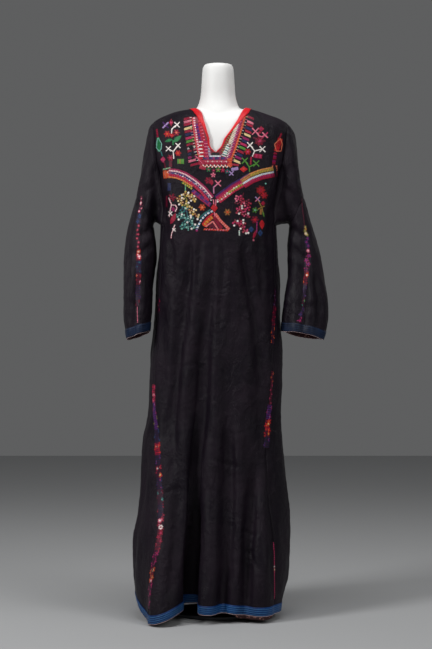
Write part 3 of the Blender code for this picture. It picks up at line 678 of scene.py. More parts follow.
# %% The sleeves
Cuff = namedtuple("Cuff", "inner_x inner_z outer_x outer_z y depth front_rise")
SLEEVES = {
    RIGHT: table(Cuff, """
-.156 1.0885 -.188 1.356 0 .062 0
-.164 1.092 -.193 1.332 0 .061 0
-.1715 1.0935 -.204 1.27 0 .06 0
-.1755 1.09 -.213 1.216 0 .059 0
-.176 1.082 -.225 1.163 -.001 .058 0
-.173 1.062 -.237 1.118 -.004 .058 0
-.169 1.032 -.248 1.072 -.008 .058 0
-.1685 .995 -.2545 1.024 -.014 .058 .001
-.174 .95 -.2595 .964 -.021 .058 .003
-.179 .9 -.262 .9 -.028 .058 .006
-.179 .85 -.2625 .838 -.034 .058 .009
-.182 .814 -.257 .792 -.039 .057 .012
-.185 .789 -.252 .766 -.042 .056 .013
"""),
    LEFT: table(Cuff, """
.166 1.0885 .208 1.356 0 .062 0
.178 1.092 .218 1.332 0 .06 0
.194 1.093 .226 1.27 0 .058 0
.202 1.091 .232 1.218 0 .056 0
.2045 1.083 .242 1.163 -.001 .054 0
.203 1.062 .256 1.12 -.004 .052 0
.199 1.032 .272 1.066 -.008 .05 0
.1985 .995 .286 1.008 -.014 .048 .001
.198 .945 .297 .94 -.021 .047 .003
.189 .895 .304 .884 -.028 .046 .006
.183 .85 .3075 .832 -.034 .046 .01
.18 .815 .303 .79 -.039 .045 .013
.179 .79 .2975 .766 -.042 .044 .014
"""),
}
LOOP_KEPT = [1, 0.62, 0.25]          # share of the armhole's own shape in the first rings
UPPER_RINGS = 5                      # rings above the slanted seam
SLEEVE_STRIP_DEGREES = -92           # the seam under the embroidered strip, from the outer line
SLEEVE_BACK_DEGREES = 90
print("sleeves of", len(SLEEVES[LEFT]), "rings")


# %% [markdown]
# ## Laying out the points
# Every seam joins two pieces at the same points, so the whole dress is first laid out as grids
# that share their edges: the closed rings of the skirt, the two halves of the bodice, and a tube
# for each sleeve. Only later is it cut into its pieces. Rows over the shoulder are spaced by
# measured length, because equal steps of height would crowd or stretch them.

# %% Spacing
ROW_STEP, SKIRT_STEP = 0.0048, 0.005376
ARM_COLUMNS, BRAID_COLUMNS, BINDING_COLUMNS = 42, 12, 3
GORE_COLUMNS = 26
RINGS_A_SECTION = 7
MAP_RING = -60                       # the skirt ring whose length gives the cloth's own map


def quads_of(grid):
    """The four corners of every square of a grid, in order round it."""
    corners = [grid[:-1, :-1], grid[:-1, 1:], grid[1:, 1:], grid[1:, :-1]]
    return np.stack(corners, 2).reshape(-1, 4, *grid.shape[2:])


def row_at(shares, share):
    return int(np.argmin(np.abs(shares - share)))


def spaced(start, end, count, last=False):
    return np.linspace(start, end, count + 1)[:None if last else -1]


def run_of(line):
    """Length along a line of points."""
    return np.concatenate([[0], np.cumsum(np.linalg.norm(np.diff(line, axis=0), axis=1))])


print("rows every", ROW_STEP * 1000, "mm on the bodice and", SKIRT_STEP * 1000, "mm on the skirt")


# %% The rows of the bodice
def neck_edge(share, side, front):
    """X of the neck's edge on one side; its bottom is round, and it is in the middle below that."""
    rows = FRONT_ROWS if front else BACK_ROWS
    name = f"edge_{SIDE_NAMES[side]}"
    edge = column(rows, name, share, key="share")
    bottom, open_at = (V_BOTTOM, V_OPENS) if front else (BACK_NECK, BACK_OPENS)
    low, high = (float(column(rows, name, at, key="share")) for at in (bottom, open_at))
    part = np.clip((share - bottom) / (open_at - bottom), 0, 1)
    rounded = low + (high - low) * np.sqrt(1 - (1 - part) ** 2)
    return np.where((share > bottom) & (share < open_at), rounded, edge)


def half_rows(shares, side, front):
    """X of one half's columns on each row, in the order of growing X."""
    hole = ARMHOLES[side]
    arm = hole.low_x + (hole.high_x - hole.low_x) * shares
    edge = neck_edge(shares, side, front)
    braid = column(FRONT_ROWS if front else BACK_ROWS, f"braid_{SIDE_NAMES[side]}", shares, key="share")
    stops = [arm, braid, edge + side * BINDING_WIDTH, edge]
    counts = [ARM_COLUMNS, BRAID_COLUMNS, BINDING_COLUMNS]
    xs = [spaced(a, b, n) for a, b, n in zip(stops, stops[1:], counts)]
    xs = np.concatenate(xs + [edge[None]]).T
    return xs if side < 0 else xs[:, ::-1]


def bodice_points(x, share, front):
    """The cloth over the chest or back, a share of the way up to the shoulder line."""
    ends = np.where(x < 0, ARMHOLES[RIGHT].high_x / ARMHOLES[RIGHT].low_x,
                    ARMHOLES[LEFT].high_x / ARMHOLES[LEFT].low_x)
    top = column(SHOULDER_LINE, "z", x, key="x")
    deep = ring_y(np.full_like(x, ARMPIT_Z), x / (1 + (ends - 1) * share), front)
    y = deep * np.maximum(1 - share**SHOULDER_ROUND, 0) ** (1 / SHOULDER_ROUND)
    return np.stack([x, -y if front else y, ARMPIT_Z + (top - ARMPIT_Z) * share], -1)


def even_shares(start, end, front):
    """Shares of the height that lie about one row step apart along the cloth."""
    shares = np.linspace(start, end, 400)
    places = bodice_points(np.full_like(shares, 0.1), shares, front)
    run = run_of(places)
    steps = max(2, round(run[-1] / ROW_STEP))
    return np.interp(np.linspace(0, run[-1], steps + 1), run, shares)


def joined_shares(stops, front):
    parts = [even_shares(a, b, front) for a, b in zip(stops, stops[1:])]
    return np.concatenate([part[:-1] for part in parts[:-1]] + [parts[-1]])


FRONT_SHARES = joined_shares([0, BAR_BOTTOM, V_BOTTOM, V_OPENS, 1], True)
BEHIND_SHARES = joined_shares([1, SHOULDER_SEAM, BACK_NECK, 0], False)
print(len(FRONT_SHARES), "rows up the chest and", len(BEHIND_SHARES), "down the back")


# %% Grids of the skirt and the bodice
def half_grid(side):
    """One half of the bodice: rows up the front, over the shoulder and down the back."""
    grids = []
    for shares, front in ((FRONT_SHARES, True), (BEHIND_SHARES[1:], False)):
        xs = half_rows(shares, side, front)
        grids.append(bodice_points(xs, np.broadcast_to(shares[:, None], xs.shape), front))
    return np.concatenate(grids)


def gore_arc(z, side, seam_front, seam_back):
    """Plain points of a gore, from the front seam round the side to the back seam."""
    power, wide = column(SKIRT, "square", z), column(SKIRT, SIDE_NAMES[side], z)
    first = np.arccos((np.abs(seam_front) / wide) ** (power / 2))
    last = -np.arccos((np.abs(seam_back) / wide) ** (power / 2))
    angle = first + (last - first) * np.arange(1, GORE_COLUMNS)[:, None] / GORE_COLUMNS
    deep = np.where(angle > 0, column(SKIRT, "front", z), column(SKIRT, "back", z))
    y = deep * np.abs(np.sin(angle)) ** (2 / power)
    return side * wide * np.cos(angle) ** (2 / power), np.where(angle > 0, -y, y)


def skirt_grid(levels):
    """Closed rings: front from right to left, left gore, back from left to right, right gore."""
    base = np.concatenate([half_rows(np.zeros(1), RIGHT, True)[0] / abs(ARMHOLES[RIGHT].low_x),
                           half_rows(np.zeros(1), LEFT, True)[0][1:] / ARMHOLES[LEFT].low_x])
    z, shares = levels[None, :], base[:, None]
    side_x = {side: column(FRONT_SEAMS, SIDE_NAMES[side], levels) for side in (RIGHT, LEFT)}
    back_x = {side: ARMHOLES[side].low_x * column(SKIRT, SIDE_NAMES[side], levels)
              / column(SKIRT, SIDE_NAMES[side], ARMPIT_Z) for side in (RIGHT, LEFT)}
    front = np.abs(shares) * np.where(shares > 0, side_x[LEFT], side_x[RIGHT])
    back = (np.abs(shares) * np.where(shares > 0, back_x[LEFT], back_x[RIGHT]))[::-1]
    zs = np.broadcast_to(z, front.shape)
    left, right = (gore_arc(levels, side, side_x[side], back_x[side]) for side in (LEFT, RIGHT))
    xs = np.concatenate([front, left[0], back, right[0][::-1]])
    ys = np.concatenate([-ring_y(zs, front, True), left[1], ring_y(zs, back, False), right[1][::-1]])
    return skirt_points(xs, ys, np.broadcast_to(z, xs.shape)).transpose(1, 0, 2)


BAND_ROWS = 5
HEM_LEVELS = spaced(0, HEM_BAND_HEIGHT, BAND_ROWS)
UPPER_LEVELS = spaced(HEM_BAND_HEIGHT, ARMPIT_Z, round((ARMPIT_Z - HEM_BAND_HEIGHT) / SKIRT_STEP), True)
SKIRT_GRID = skirt_grid(np.concatenate([HEM_LEVELS, UPPER_LEVELS]))
HALVES = {side: half_grid(side) for side in (RIGHT, LEFT)}
ACROSS = 2 * (ARM_COLUMNS + BRAID_COLUMNS + BINDING_COLUMNS)
BACK_START = ACROSS + GORE_COLUMNS
SKIRT_GRID[-1, :ACROSS // 2 + 1] = HALVES[RIGHT][0]
SKIRT_GRID[-1, ACROSS // 2:ACROSS + 1] = HALVES[LEFT][0]
SKIRT_GRID[-1, BACK_START + ACROSS // 2:BACK_START + ACROSS + 1] = HALVES[RIGHT][-1][::-1]
SKIRT_GRID[-1, BACK_START:BACK_START + ACROSS // 2 + 1] = HALVES[LEFT][-1][::-1]
print("skirt rings", SKIRT_GRID.shape[:2], "and half bodices", HALVES[LEFT].shape[:2])


# %% Tubes of the sleeves
def sleeve_grid(loop, side):
    """Rings from the armhole to the cuff, and the column on the tube's outer line."""
    hole = ARMHOLES[side]
    low, high = np.array([hole.low_x, 0, ARMPIT_Z]), np.array([hole.high_x, 0, hole.high_z])
    up_line, half_depth = (high - low) / 2, np.abs(loop[:, 1]).max()
    ups = (loop - (low + high) / 2) @ up_line / (up_line @ up_line)
    outs = loop[:, 1] / half_depth
    left_over = loop - ((low + high) / 2 + np.outer(ups, up_line) + np.outer(outs, [0, half_depth, 0]))
    own, count, top = np.unwrap(np.arctan2(outs, ups)), len(loop), int(np.argmax(loop[:, 2]))
    even = own[top] + (np.arange(count) - top) * 2 * math.pi / count
    cuffs = [Cuff(hole.low_x, ARMPIT_Z, hole.high_x, hole.high_z, 0, half_depth, 0)] + SLEEVES[side]
    stations = np.arange(len(cuffs))
    rings = []
    for at in np.linspace(0, stations[-1], stations[-1] * RINGS_A_SECTION + 1):
        cuff = Cuff(*(float(curve(at, stations, [row[i] for row in cuffs])) for i in range(7)))
        kept = float(np.interp(at, range(len(LOOP_KEPT) + 1), [*LOOP_KEPT, 0]))
        angles = kept * own + (1 - kept) * even
        up, out = kept * ups + (1 - kept) * np.cos(angles), kept * outs + (1 - kept) * np.sin(angles)
        inner, outer = (np.array([x, 0, z]) for x, z in (cuff[0:2], cuff[2:4]))
        ring = (inner + outer) / 2 + np.outer(up, (outer - inner) / 2) + kept * left_over
        ring[:, 1] += cuff.y + cuff.depth * out
        ring[:, 2] -= cuff.front_rise * out
        rings.append(ring)
    return np.array(rings), top


LOOPS = {
    LEFT: np.concatenate([HALVES[LEFT][:, -1], SKIRT_GRID[-1, ACROSS + 1:BACK_START][::-1]]),
    RIGHT: np.concatenate([HALVES[RIGHT][:, 0], SKIRT_GRID[-1, BACK_START + ACROSS + 1:]]),
}
SLEEVE_GRIDS = {side: sleeve_grid(loop, side) for side, loop in LOOPS.items()}
print("sleeve rings", SLEEVE_GRIDS[LEFT][0].shape[:2])

# %% [markdown]
# ## One dress, cut into pieces
# The grids are poured into one list of points, where points at the same place become one. That
# gives every point a single outward direction, so a crease that runs over a seam doesn't open it.
# Each face remembers which piece it belongs to.

# %% Pouring the grids together
class Dress:
    """All points of the cloth, and each piece's faces with their place on the cloth's own map."""

    def __init__(self):
        self.points, self.faces, self.maps = [], {}, {}
        self.count = 0

    def add(self, piece, grid, across, along, closed=False, turn=False):
        """Faces of a grid for a piece. across and along give the cloth map, in metres."""
        rows, columns = grid.shape[:2]
        ids = self.count + np.arange(rows * columns).reshape(rows, columns)
        self.count += rows * columns
        self.points.append(grid.reshape(-1, 3))
        if closed:
            ids = np.concatenate([ids, ids[:, :1]], 1)
        quads = quads_of(ids)
        corners = quads_of(np.stack(np.broadcast_arrays(across[None, :], along[:, None]), -1))
        self.faces.setdefault(piece, []).append(quads[:, ::-1] if turn else quads)
        self.maps.setdefault(piece, []).append(corners[:, ::-1] if turn else corners)
        return ids

    def pour(self):
        """Merge points at the same place, and work out each point's outward direction."""
        every = np.concatenate(self.points)
        _, first, same = np.unique(every.round(6), axis=0, return_index=True, return_inverse=True)
        self.same, self.rest = same.reshape(-1), every[first]
        self.faces = {piece: self.same[np.concatenate(quads)] for piece, quads in self.faces.items()}
        self.maps = {piece: np.concatenate(corners) for piece, corners in self.maps.items()}
        self.rest_normals = self.normals_of(self.rest)
        self.placed = self.rest.copy()

    def normals_of(self, points):
        quads = np.concatenate(list(self.faces.values()))
        a, b, c, d = (points[quads[:, i]] for i in range(4))
        flat = np.cross(c - a, d - b)
        normals = np.zeros_like(points)
        for i in range(4):
            np.add.at(normals, quads[:, i], flat)
        return unit(normals)


dress = Dress()
print("an empty dress, with", dress.count, "points")

# %% Every piece's share of the grids
hem_ids, neck_ids, cuff_ids, seam_ids = [], {}, {}, {}
skirt_run = run_of(SKIRT_GRID[:, ACROSS // 4])
ring_run = run_of(np.concatenate([SKIRT_GRID[MAP_RING], SKIRT_GRID[MAP_RING, :1]]))
half_run = {side: run_of(half[:, ARM_COLUMNS // 2 if side < 0 else -ARM_COLUMNS // 2])
            for side, half in HALVES.items()}
FRONT_END = len(FRONT_SHARES) + row_at(BEHIND_SHARES, SHOULDER_SEAM)
COUNT = SKIRT_GRID.shape[1]
for piece, start, columns in (("front_panel", 0, ACROSS), ("gore_left", ACROSS, GORE_COLUMNS),
                              ("back_panel", BACK_START, ACROSS),
                              ("gore_right", BACK_START + ACROSS, GORE_COLUMNS)):
    order = np.arange(start, start + columns + 1)
    ids = dress.add(piece, SKIRT_GRID[:, order % COUNT], ring_run[order], skirt_run)
    hem_ids.append(ids[:BAND_ROWS + 1, :-1])
    if piece == "front_panel":
        seam_ids["side_right"], seam_ids["side_left"] = ids[::-1, 0], ids[::-1, -1]
for side, half in HALVES.items():
    start = 0 if side < 0 else ACROSS // 2
    across = ring_run[start:start + ACROSS // 2 + 1]
    along = skirt_run[-1] + half_run[side]
    before = dress.add("front_panel", half[:FRONT_END], across, along[:FRONT_END])
    behind = dress.add("back_panel", half[FRONT_END - 1:], -across, along[FRONT_END - 1:])
    neck_ids[side] = np.concatenate([before, behind[1:]])
for side, (grid, top) in SLEEVE_GRIDS.items():
    name, count = SIDE_NAMES[side], grid.shape[1]
    split = UPPER_RINGS * RINGS_A_SECTION
    around, along = run_of(np.concatenate([grid[split], grid[split, :1]])), run_of(grid[:, top])
    strip = top + round(SLEEVE_STRIP_DEGREES / 360 * count)
    back = top + round(SLEEVE_BACK_DEGREES / 360 * count)
    turn = side == LEFT
    dress.add(f"upper_sleeve_{name}", grid[:split + 1], around, along[:split + 1], True, turn)
    cuff_ids[side] = []
    for half, start, stop in (("outer", strip, back), ("inner", back, strip + count)):
        order = np.arange(start, stop + 1)
        across = around[order % count] + around[-1] * (order // count)
        ids = dress.add(f"sleeve_{half}_{name}", grid[split:, order % count], across, along[split:],
                        turn=turn)
        cuff_ids[side].append(ids[-2 * RINGS_A_SECTION - 1:, :-1])
        if half == "outer":
            seam_ids[f"sleeve_{name}"] = ids[:, 0]
dress.pour()
print(len(dress.rest), "points of cloth in", len(dress.faces), "pieces")

# %% [markdown]
# ## The other finishes
# Blue ribbon has a tight cross grain with a few paler lines woven along it. The facings are cheap
# printed cotton, dark red with small pale sprigs. Satin binding shines along its fold. The form is
# matt white paint, a little uneven, and the stand is brushed steel coloured near black, as painted
# shade, so that its base under the skirt reads as the shadow there.

# %% Ribbon, print and satin
RIBBON_LINES = (0.0032, 0.0088, 0.0142, 0.0196)
RIBBON_LINE_WIDTH = 0.0005


def blue_ribbon(name, dark, light, pale):
    made, tree, shader = new_material(name, 0.50, Specular_IOR_Level=0.2)
    coordinates, wear, weave = cloth_nodes(tree, 1500.0)
    place = node(tree, "ShaderNodeSeparateXYZ", {"Vector": coordinates["UV"]}).outputs["Y"]
    lines = 0.0
    for at in RIBBON_LINES:
        line = maths(tree, "COMPARE", place, at, RIBBON_LINE_WIDTH)
        lines = maths(tree, "MAXIMUM", lines, line)
    dyed = mix_colour(tree, wear["Patches"], dark, light)
    lined = mix_colour(tree, maths(tree, "MULTIPLY", lines, 0.7), dyed, pale)
    tree.links.new(lined, shader.inputs["Base Color"])
    cloth_height(tree, shader, weave["Height"], 0.0002)
    return made


def printed_cotton():
    made, tree, shader = new_material("printed_cotton", 0.8)
    coordinates, wear, weave = cloth_nodes(tree, 1200.0)
    sprigs = node(tree, "ShaderNodeTexVoronoi", {"Vector": coordinates["UV"], "Scale": 130.0})
    speck = node(tree, "ShaderNodeMapRange",
                 {0: sprigs.outputs["Distance"], 1: 0.26, 2: 0.30, 3: 1.0, 4: 0.0}).outputs[0]
    ground = mix_colour(tree, wear["Patches"], (0.022, 0.002, 0.004, 1), (0.050, 0.004, 0.007, 1))
    tree.links.new(mix_colour(tree, speck, ground, (0.24, 0.11, 0.09, 1)), shader.inputs["Base Color"])
    cloth_height(tree, shader, weave["Height"], 0.0002)
    return made


def plain_cloth(name, dark, light, rough, threads, **shader_values):
    """Cloth of one dye, uneven between a dark and a light shade, with its weave."""
    made, tree, shader = new_material(name, rough, **shader_values)
    _, wear, weave = cloth_nodes(tree, threads)
    tree.links.new(mix_colour(tree, wear["Patches"], dark, light), shader.inputs["Base Color"])
    cloth_height(tree, shader, weave["Height"], 0.0002)
    return made


BLUE_RIBBON = blue_ribbon("blue_ribbon", (0.001, 0.018, 0.085, 1), (0.002, 0.046, 0.185, 1),
                          (0.09, 0.26, 0.46, 1))
# A darker copy of the blue ribbon, for the cuffs.
DARKER_CUFF_RIBBON = blue_ribbon("worn_blue_ribbon", (0.003, 0.005, 0.016, 1), (0.006, 0.016, 0.048, 1),
                          (0.012, 0.032, 0.075, 1))
PRINTED_COTTON = printed_cotton()
RED_BINDING = plain_cloth("red_satin", (0.50, 0.004, 0.010, 1), (0.74, 0.008, 0.018, 1), 0.42, 1800.0,
                          Specular_IOR_Level=0.25)
SILK_GROUND = plain_cloth("crimson_ground", (0.16, 0.005, 0.020, 1), (0.26, 0.010, 0.035, 1), 0.6, 1500.0)
PALE_EDGE = plain_cloth("pale_edge_cord", (0.50, 0.34, 0.36, 1), (0.72, 0.58, 0.58, 1), 0.6, 1500.0)
# A pale pink for the cord on the neck's fold: partly worn satin, partly a painted highlight of its shine.
WORN_AND_SHEEN_PINK = plain_cloth("worn_pink_edge", (0.56, 0.16, 0.19, 1), (0.80, 0.46, 0.46, 1), 0.5, 1800.0)
print("made ribbon, print, satin, crimson ground and pale cords")


# %% Painted form and brushed steel
def white_form():
    made, tree, shader = new_material("white_form_paint", 0.55)
    place = node(tree, "ShaderNodeTexCoord").outputs["Object"]
    cloud = node(tree, "ShaderNodeTexNoise", {"Vector": place, "Scale": 9.0, "Detail": 4.0}).outputs["Fac"]
    tree.links.new(mix_colour(tree, cloud, (0.66, 0.655, 0.64, 1), (0.80, 0.80, 0.79, 1)),
                   shader.inputs["Base Color"])
    peel = node(tree, "ShaderNodeTexNoise", {"Vector": place, "Scale": 240.0, "Detail": 2.0}).outputs["Fac"]
    cloth_height(tree, shader, peel, 0.0001)
    return made


def stand_steel():
    made, tree, shader = new_material("stand_steel", 0.35, Metallic=1.0)
    place = node(tree, "ShaderNodeTexCoord").outputs["Object"]
    stretched = node(tree, "ShaderNodeMapping", {"Vector": place, "Scale": (60.0, 60.0, 900.0)})
    brushed = node(tree, "ShaderNodeTexNoise", {"Vector": stretched.outputs["Vector"], "Scale": 1.0})
    # The steel's colour is near black: painted shade, so that the base under the skirt reads as the shadow there.
    tree.links.new(mix_colour(tree, brushed.outputs["Fac"], (0.045, 0.045, 0.05, 1), (0.08, 0.08, 0.085, 1)),
                   shader.inputs["Base Color"])
    tree.links.new(maths(tree, "ADD", 0.22, maths(tree, "MULTIPLY", brushed.outputs["Fac"], 0.3)),
                   shader.inputs["Roughness"])
    return made


WHITE_FORM, SHADE_DARKENED_STEEL = white_form(), stand_steel()
print("made", WHITE_FORM.name, "and", SHADE_DARKENED_STEEL.name)

# %% Silk thread
def silk_thread():
    """Floss silk: the strand's own colour, with a bright line of gloss along it."""
    made, tree, shader = new_material("silk_thread", 0.46, Specular_IOR_Level=0.28)
    colour = node(tree, "ShaderNodeAttribute", attribute_name="silk").outputs["Color"]
    place = node(tree, "ShaderNodeTexCoord").outputs["Object"]
    fibre = node(tree, "ShaderNodeTexNoise", {"Vector": place, "Scale": 2600.0, "Detail": 1.0}).outputs["Fac"]
    darker = mix_colour(tree, 0.45, colour, colour, "MULTIPLY")
    tree.links.new(mix_colour(tree, fibre, darker, colour), shader.inputs["Base Color"])
    cloth_height(tree, shader, fibre, 0.0001)
    return made


SILK_THREAD = silk_thread()
print("made", SILK_THREAD.name)

# %% [markdown]
# ## Creases
# Cloth that hangs is never even. Short troughs run down from the stiff embroidery, the armholes
# pull the cloth into dark hollows, and a dress that was folded for years keeps faint lines. Each
# crease is a path of a few points with a depth and a width, placed where such cloth shows
# one. A path on the front or back is given in X and height, and one on a side in Y and height.

# %% Crease tables
CREASES = table("part face depth width path", """
# gathers under the chest embroidery
= body front
.0045 .01 -.128,1.06;-.124,.985;-.116,.9
.004 .008 -.074,1.05;-.075,.96;-.078,.88
.0036 .007 -.046,1.052;-.049,.975;-.056,.88
.0042 .008 .014,1.055;.017,.96;.008,.84;.002,.76
.0036 .009 .063,1.05;.08,.95;.102,.84;.112,.76
.0036 .01 .112,1.06;.119,.96;.122,.86
-.003 .011 -.028,1.02;-.03,.9;-.04,.78
-.0028 .012 .04,1.02;.05,.9;.052,.76
# long soft lines of the skirt
.006 .016 -.073,1.05;-.095,.8;-.122,.6;-.141,.4
.0095 .016 -.02,.96;-.038,.74;-.052,.54;-.06,.32
.028 .0135 -.05,.58;-.06,.4;-.059,.25;-.067,.11;-.065,-.02;-.07,-.16
.0095 .02 -.074,.52;-.083,.26;-.086,-.14
.005 .014 -.15,.88;-.146,.72;-.156,.56
.005 .015 .07,1.04;.098,.86;.116,.72;.124,.6
.008 .015 .03,.6;.028,.4;.02,.22;.016,-.04
.009 .013 .112,.47;.098,.33;.084,.18;.08,-.02
.006 .012 .15,.42;.152,.25;.15,.04
.005 .013 -.096,.43;-.112,.3;-.122,.15;-.128,.03
-.007 .019 0,.82;-.006,.56;-.014,.36;-.018,.12
-.006 .017 -.086,.82;-.094,.62;-.1,.42
-.004 .014 .062,.56;.058,.38;.05,.2
# faint lines left by folding and sitting
.0022 .006 -.02,.447;.028,.428;.078,.416
.0018 .005 .066,.668;.086,.645;.108,.632
.002 .006 .06,.255;.09,.238;.122,.243
.0022 .007 .068,.206;.098,.172;.116,.13
.0018 .006 -.15,.345;-.11,.362;-.075,.352
.0016 .006 -.1,.69;-.06,.7;-.03,.684
# pulls from the armholes, where the cloth sinks away from the light
= any front
.012 .015 -.176,1.262;-.167,1.175;-.155,1.09
.011 .015 .186,1.256;.178,1.17;.164,1.09
= body front
.005 .01 -.14,1.19;-.144,1.11;-.136,1.02
.0046 .01 .146,1.18;.149,1.1;.143,1.01
.0026 .01 -.12,1.345;-.146,1.29;-.16,1.23
.0024 .01 .132,1.34;.158,1.29;.172,1.23
# the back: the same, and as uneven
= any back
.011 .015 -.178,1.262;-.169,1.175;-.155,1.09
.011 .015 .187,1.256;.18,1.17;.164,1.09
= body back
.005 .012 -.118,1.3;-.122,1.18;-.112,1.05
.0046 .012 .12,1.29;.126,1.16;.12,1.04
.0036 .011 .01,1.18;.014,1.06;.006,.92
.004 .012 -.06,.98;-.052,.8;-.06,.64
.0036 .012 .088,.9;.082,.74;.09,.58
.0044 .013 -.13,.56;-.146,.36;-.152,.14
.004 .013 .014,.42;.018,.26;.014,.08
-.0032 .012 .03,.8;.034,.64;.026,.5
.002 .006 -.08,.52;-.03,.508;.03,.52
.0018 .006 -.02,.77;.04,.782;.086,.77
# the sides
= body right
.0044 .013 -.02,1.02;-.026,.86;-.012,.68
.004 .014 -.06,.52;-.074,.3;-.08,.08
= body left
.0044 .013 .016,1.02;.024,.86;.014,.7
.004 .014 .05,.56;.06,.33;.064,.08
# the sleeves: slanting pulls above the elbow, soft rings at it, long troughs below
= sleeve front
.006 .01 -.188,1.2;-.206,1.15;-.222,1.12
.005 .01 -.176,1.09;-.196,1.062;-.224,1.05
.0042 .009 -.182,1.032;-.206,1.005;-.236,1
.0036 .009 -.24,.96;-.246,.88;-.24,.81
.006 .01 .196,1.196;.214,1.15;.232,1.118
.005 .01 .204,1.084;.224,1.058;.25,1.05
.0042 .009 .208,1.02;.232,.996;.262,.99
.007 .01 .228,.99;.24,.9;.238,.82;.235,.7
.0075 .009 -.212,.96;-.222,.88;-.228,.81;-.23,.69
-.004 .012 .256,1.01;.262,.92;.262,.83
-.0036 .011 -.232,1;-.238,.92;-.242,.83
.0034 .008 -.25,.872;-.224,.862;-.196,.872
.0034 .008 .216,.87;.246,.858;.286,.862
.0038 .009 .266,.95;.28,.88;.284,.81
= sleeve back
.006 .011 -.19,1.21;-.206,1.15;-.226,1.11
.0052 .01 -.184,1.05;-.212,1.02;-.24,1.02
.004 .011 -.216,.96;-.222,.88;-.22,.81
.006 .011 .2,1.21;.222,1.15;.24,1.11
.0052 .01 .214,1.05;.24,1.02;.27,1.016
.004 .011 .246,.96;.256,.88;.258,.81
""")
print(len(CREASES), "creases placed by hand")


# %% Pressing the creases in
def distance_to_path(places, path):
    """Distance of each 2D place from a path, and how far along the path its nearest point is."""
    path = np.array(path)
    run = run_of(path)
    nearest, along = np.full(len(places), 9.0), np.zeros(len(places))
    for start, end, before in zip(path, path[1:], run):
        step = end - start
        u = np.clip((places - start) @ step / (step @ step), 0, 1)
        gap = np.linalg.norm(places - start - u[:, None] * step, axis=1)
        closer = gap < nearest
        nearest[closer], along[closer] = gap[closer], (before + u * np.linalg.norm(step))[closer]
    return nearest, along / run[-1]


SWELL = 0.28


def crease_shape(gap, width):
    """A trough with a low swell on both sides, as pinched cloth has."""
    return np.exp(-((gap / width) ** 2)) - SWELL * np.exp(-(((gap - 2 * width) / width) ** 2))


FACE_AXES = {"front": (1, -1), "back": (1, 1), "right": (0, -1), "left": (0, 1)}
CREASE_REACH = 4                     # how many of its widths a crease can be felt from
CREASE_GROWS, CREASE_FADES = 0.22, 0.72   # shares of its length where it is full depth


def crease_depth(points, normals, on_sleeve):
    total = np.zeros(len(points))
    for crease in CREASES:
        axis, sign = FACE_AXES[crease.face]
        facing = fade(sign * normals[:, axis], 0.05, 0.45)
        if crease.part != "any":
            facing = facing * (on_sleeve if crease.part == "sleeve" else ~on_sleeve)
        path = np.array(crease.path)
        low, high = path.min(0) - CREASE_REACH * crease.width, path.max(0) + CREASE_REACH * crease.width
        places = points[:, [1 - axis, 2]]
        near = (facing > 0) & np.all((places > low) & (places < high), axis=1)
        gap, along = distance_to_path(places[near], path)
        ends = fade(along, 0, CREASE_GROWS) * (1 - fade(along, CREASE_FADES, 1))
        total[near] += facing[near] * crease.depth * ends * crease_shape(gap, crease.width)
    return total


print("the widest crease is felt", round(CREASE_REACH * max(crease.width for crease in CREASES), 3), "m away")

# %% Drape and seams
WAVES = table("depth across up shift", """
# slow drape
.0052 17 4.2 3.1
# ripples across it
.0019 48 17 7.7
# fine crumple
.0008 85 75 1.3
""")
SEAM_DIP, SEAM_DIP_WIDTH = 0.0011, 0.0045
STIFF_CHEST, STIFFNESS = (1.02, 1.08), 0.8   # the embroidery and the form keep it smooth up there


def soft_noise(points, across, up, shift):
    """Smooth noise from -1 to 1, stretched along the drop of the cloth."""
    stretched = points * [across, across, up] + shift
    return np.array([noise.noise(Vector(place)) for place in stretched.tolist()])


def points_of(pieces):
    inside = np.zeros(len(dress.rest), bool)
    for piece in pieces:
        inside[np.unique(dress.faces[piece])] = True
    return inside


def tree_of(points):
    """A tree that finds the nearest of some points."""
    tree = KDTree(len(points))
    for i, point in enumerate(points.tolist()):
        tree.insert(point, i)
    tree.balance()
    return tree


on_sleeve = points_of([piece for piece in dress.faces if "sleeve" in piece])
loose = 1 - STIFFNESS * fade(dress.rest[:, 2], *STIFF_CHEST) * ~on_sleeve
pressed = crease_depth(dress.rest, dress.rest_normals, on_sleeve)
uneven = sum(wave.depth * soft_noise(dress.rest, wave.across, wave.up, wave.shift) for wave in WAVES)

shared = sum(points_of([piece]).astype(int) for piece in dress.faces) > 1
seam_tree = tree_of(dress.rest[shared])
seam_gap = np.array([seam_tree.find(point)[2] for point in dress.rest.tolist()])
dip = SEAM_DIP * np.exp(-((seam_gap / SEAM_DIP_WIDTH) ** 2))

depth = pressed + loose * uneven + dip
dress.placed = dress.rest - dress.rest_normals * depth[:, None]

# A sleeve's mouth hangs a little lower in front than behind.
LIP_DROP, LIP_FROM, LIP_FULL = 0.008, 0.900, 0.810
lip = on_sleeve * fade(-dress.rest[:, 2], -LIP_FROM, -LIP_FULL)
dress.placed[:, 2] += LIP_DROP * lip * np.clip(dress.rest_normals[:, 1] * 1.4, -1, 1)
print("creases press in up to", round(float(pressed.max() * 1000), 1), "mm; folds and drape up to",
      round(float(depth.max() * 1000), 1), "mm")

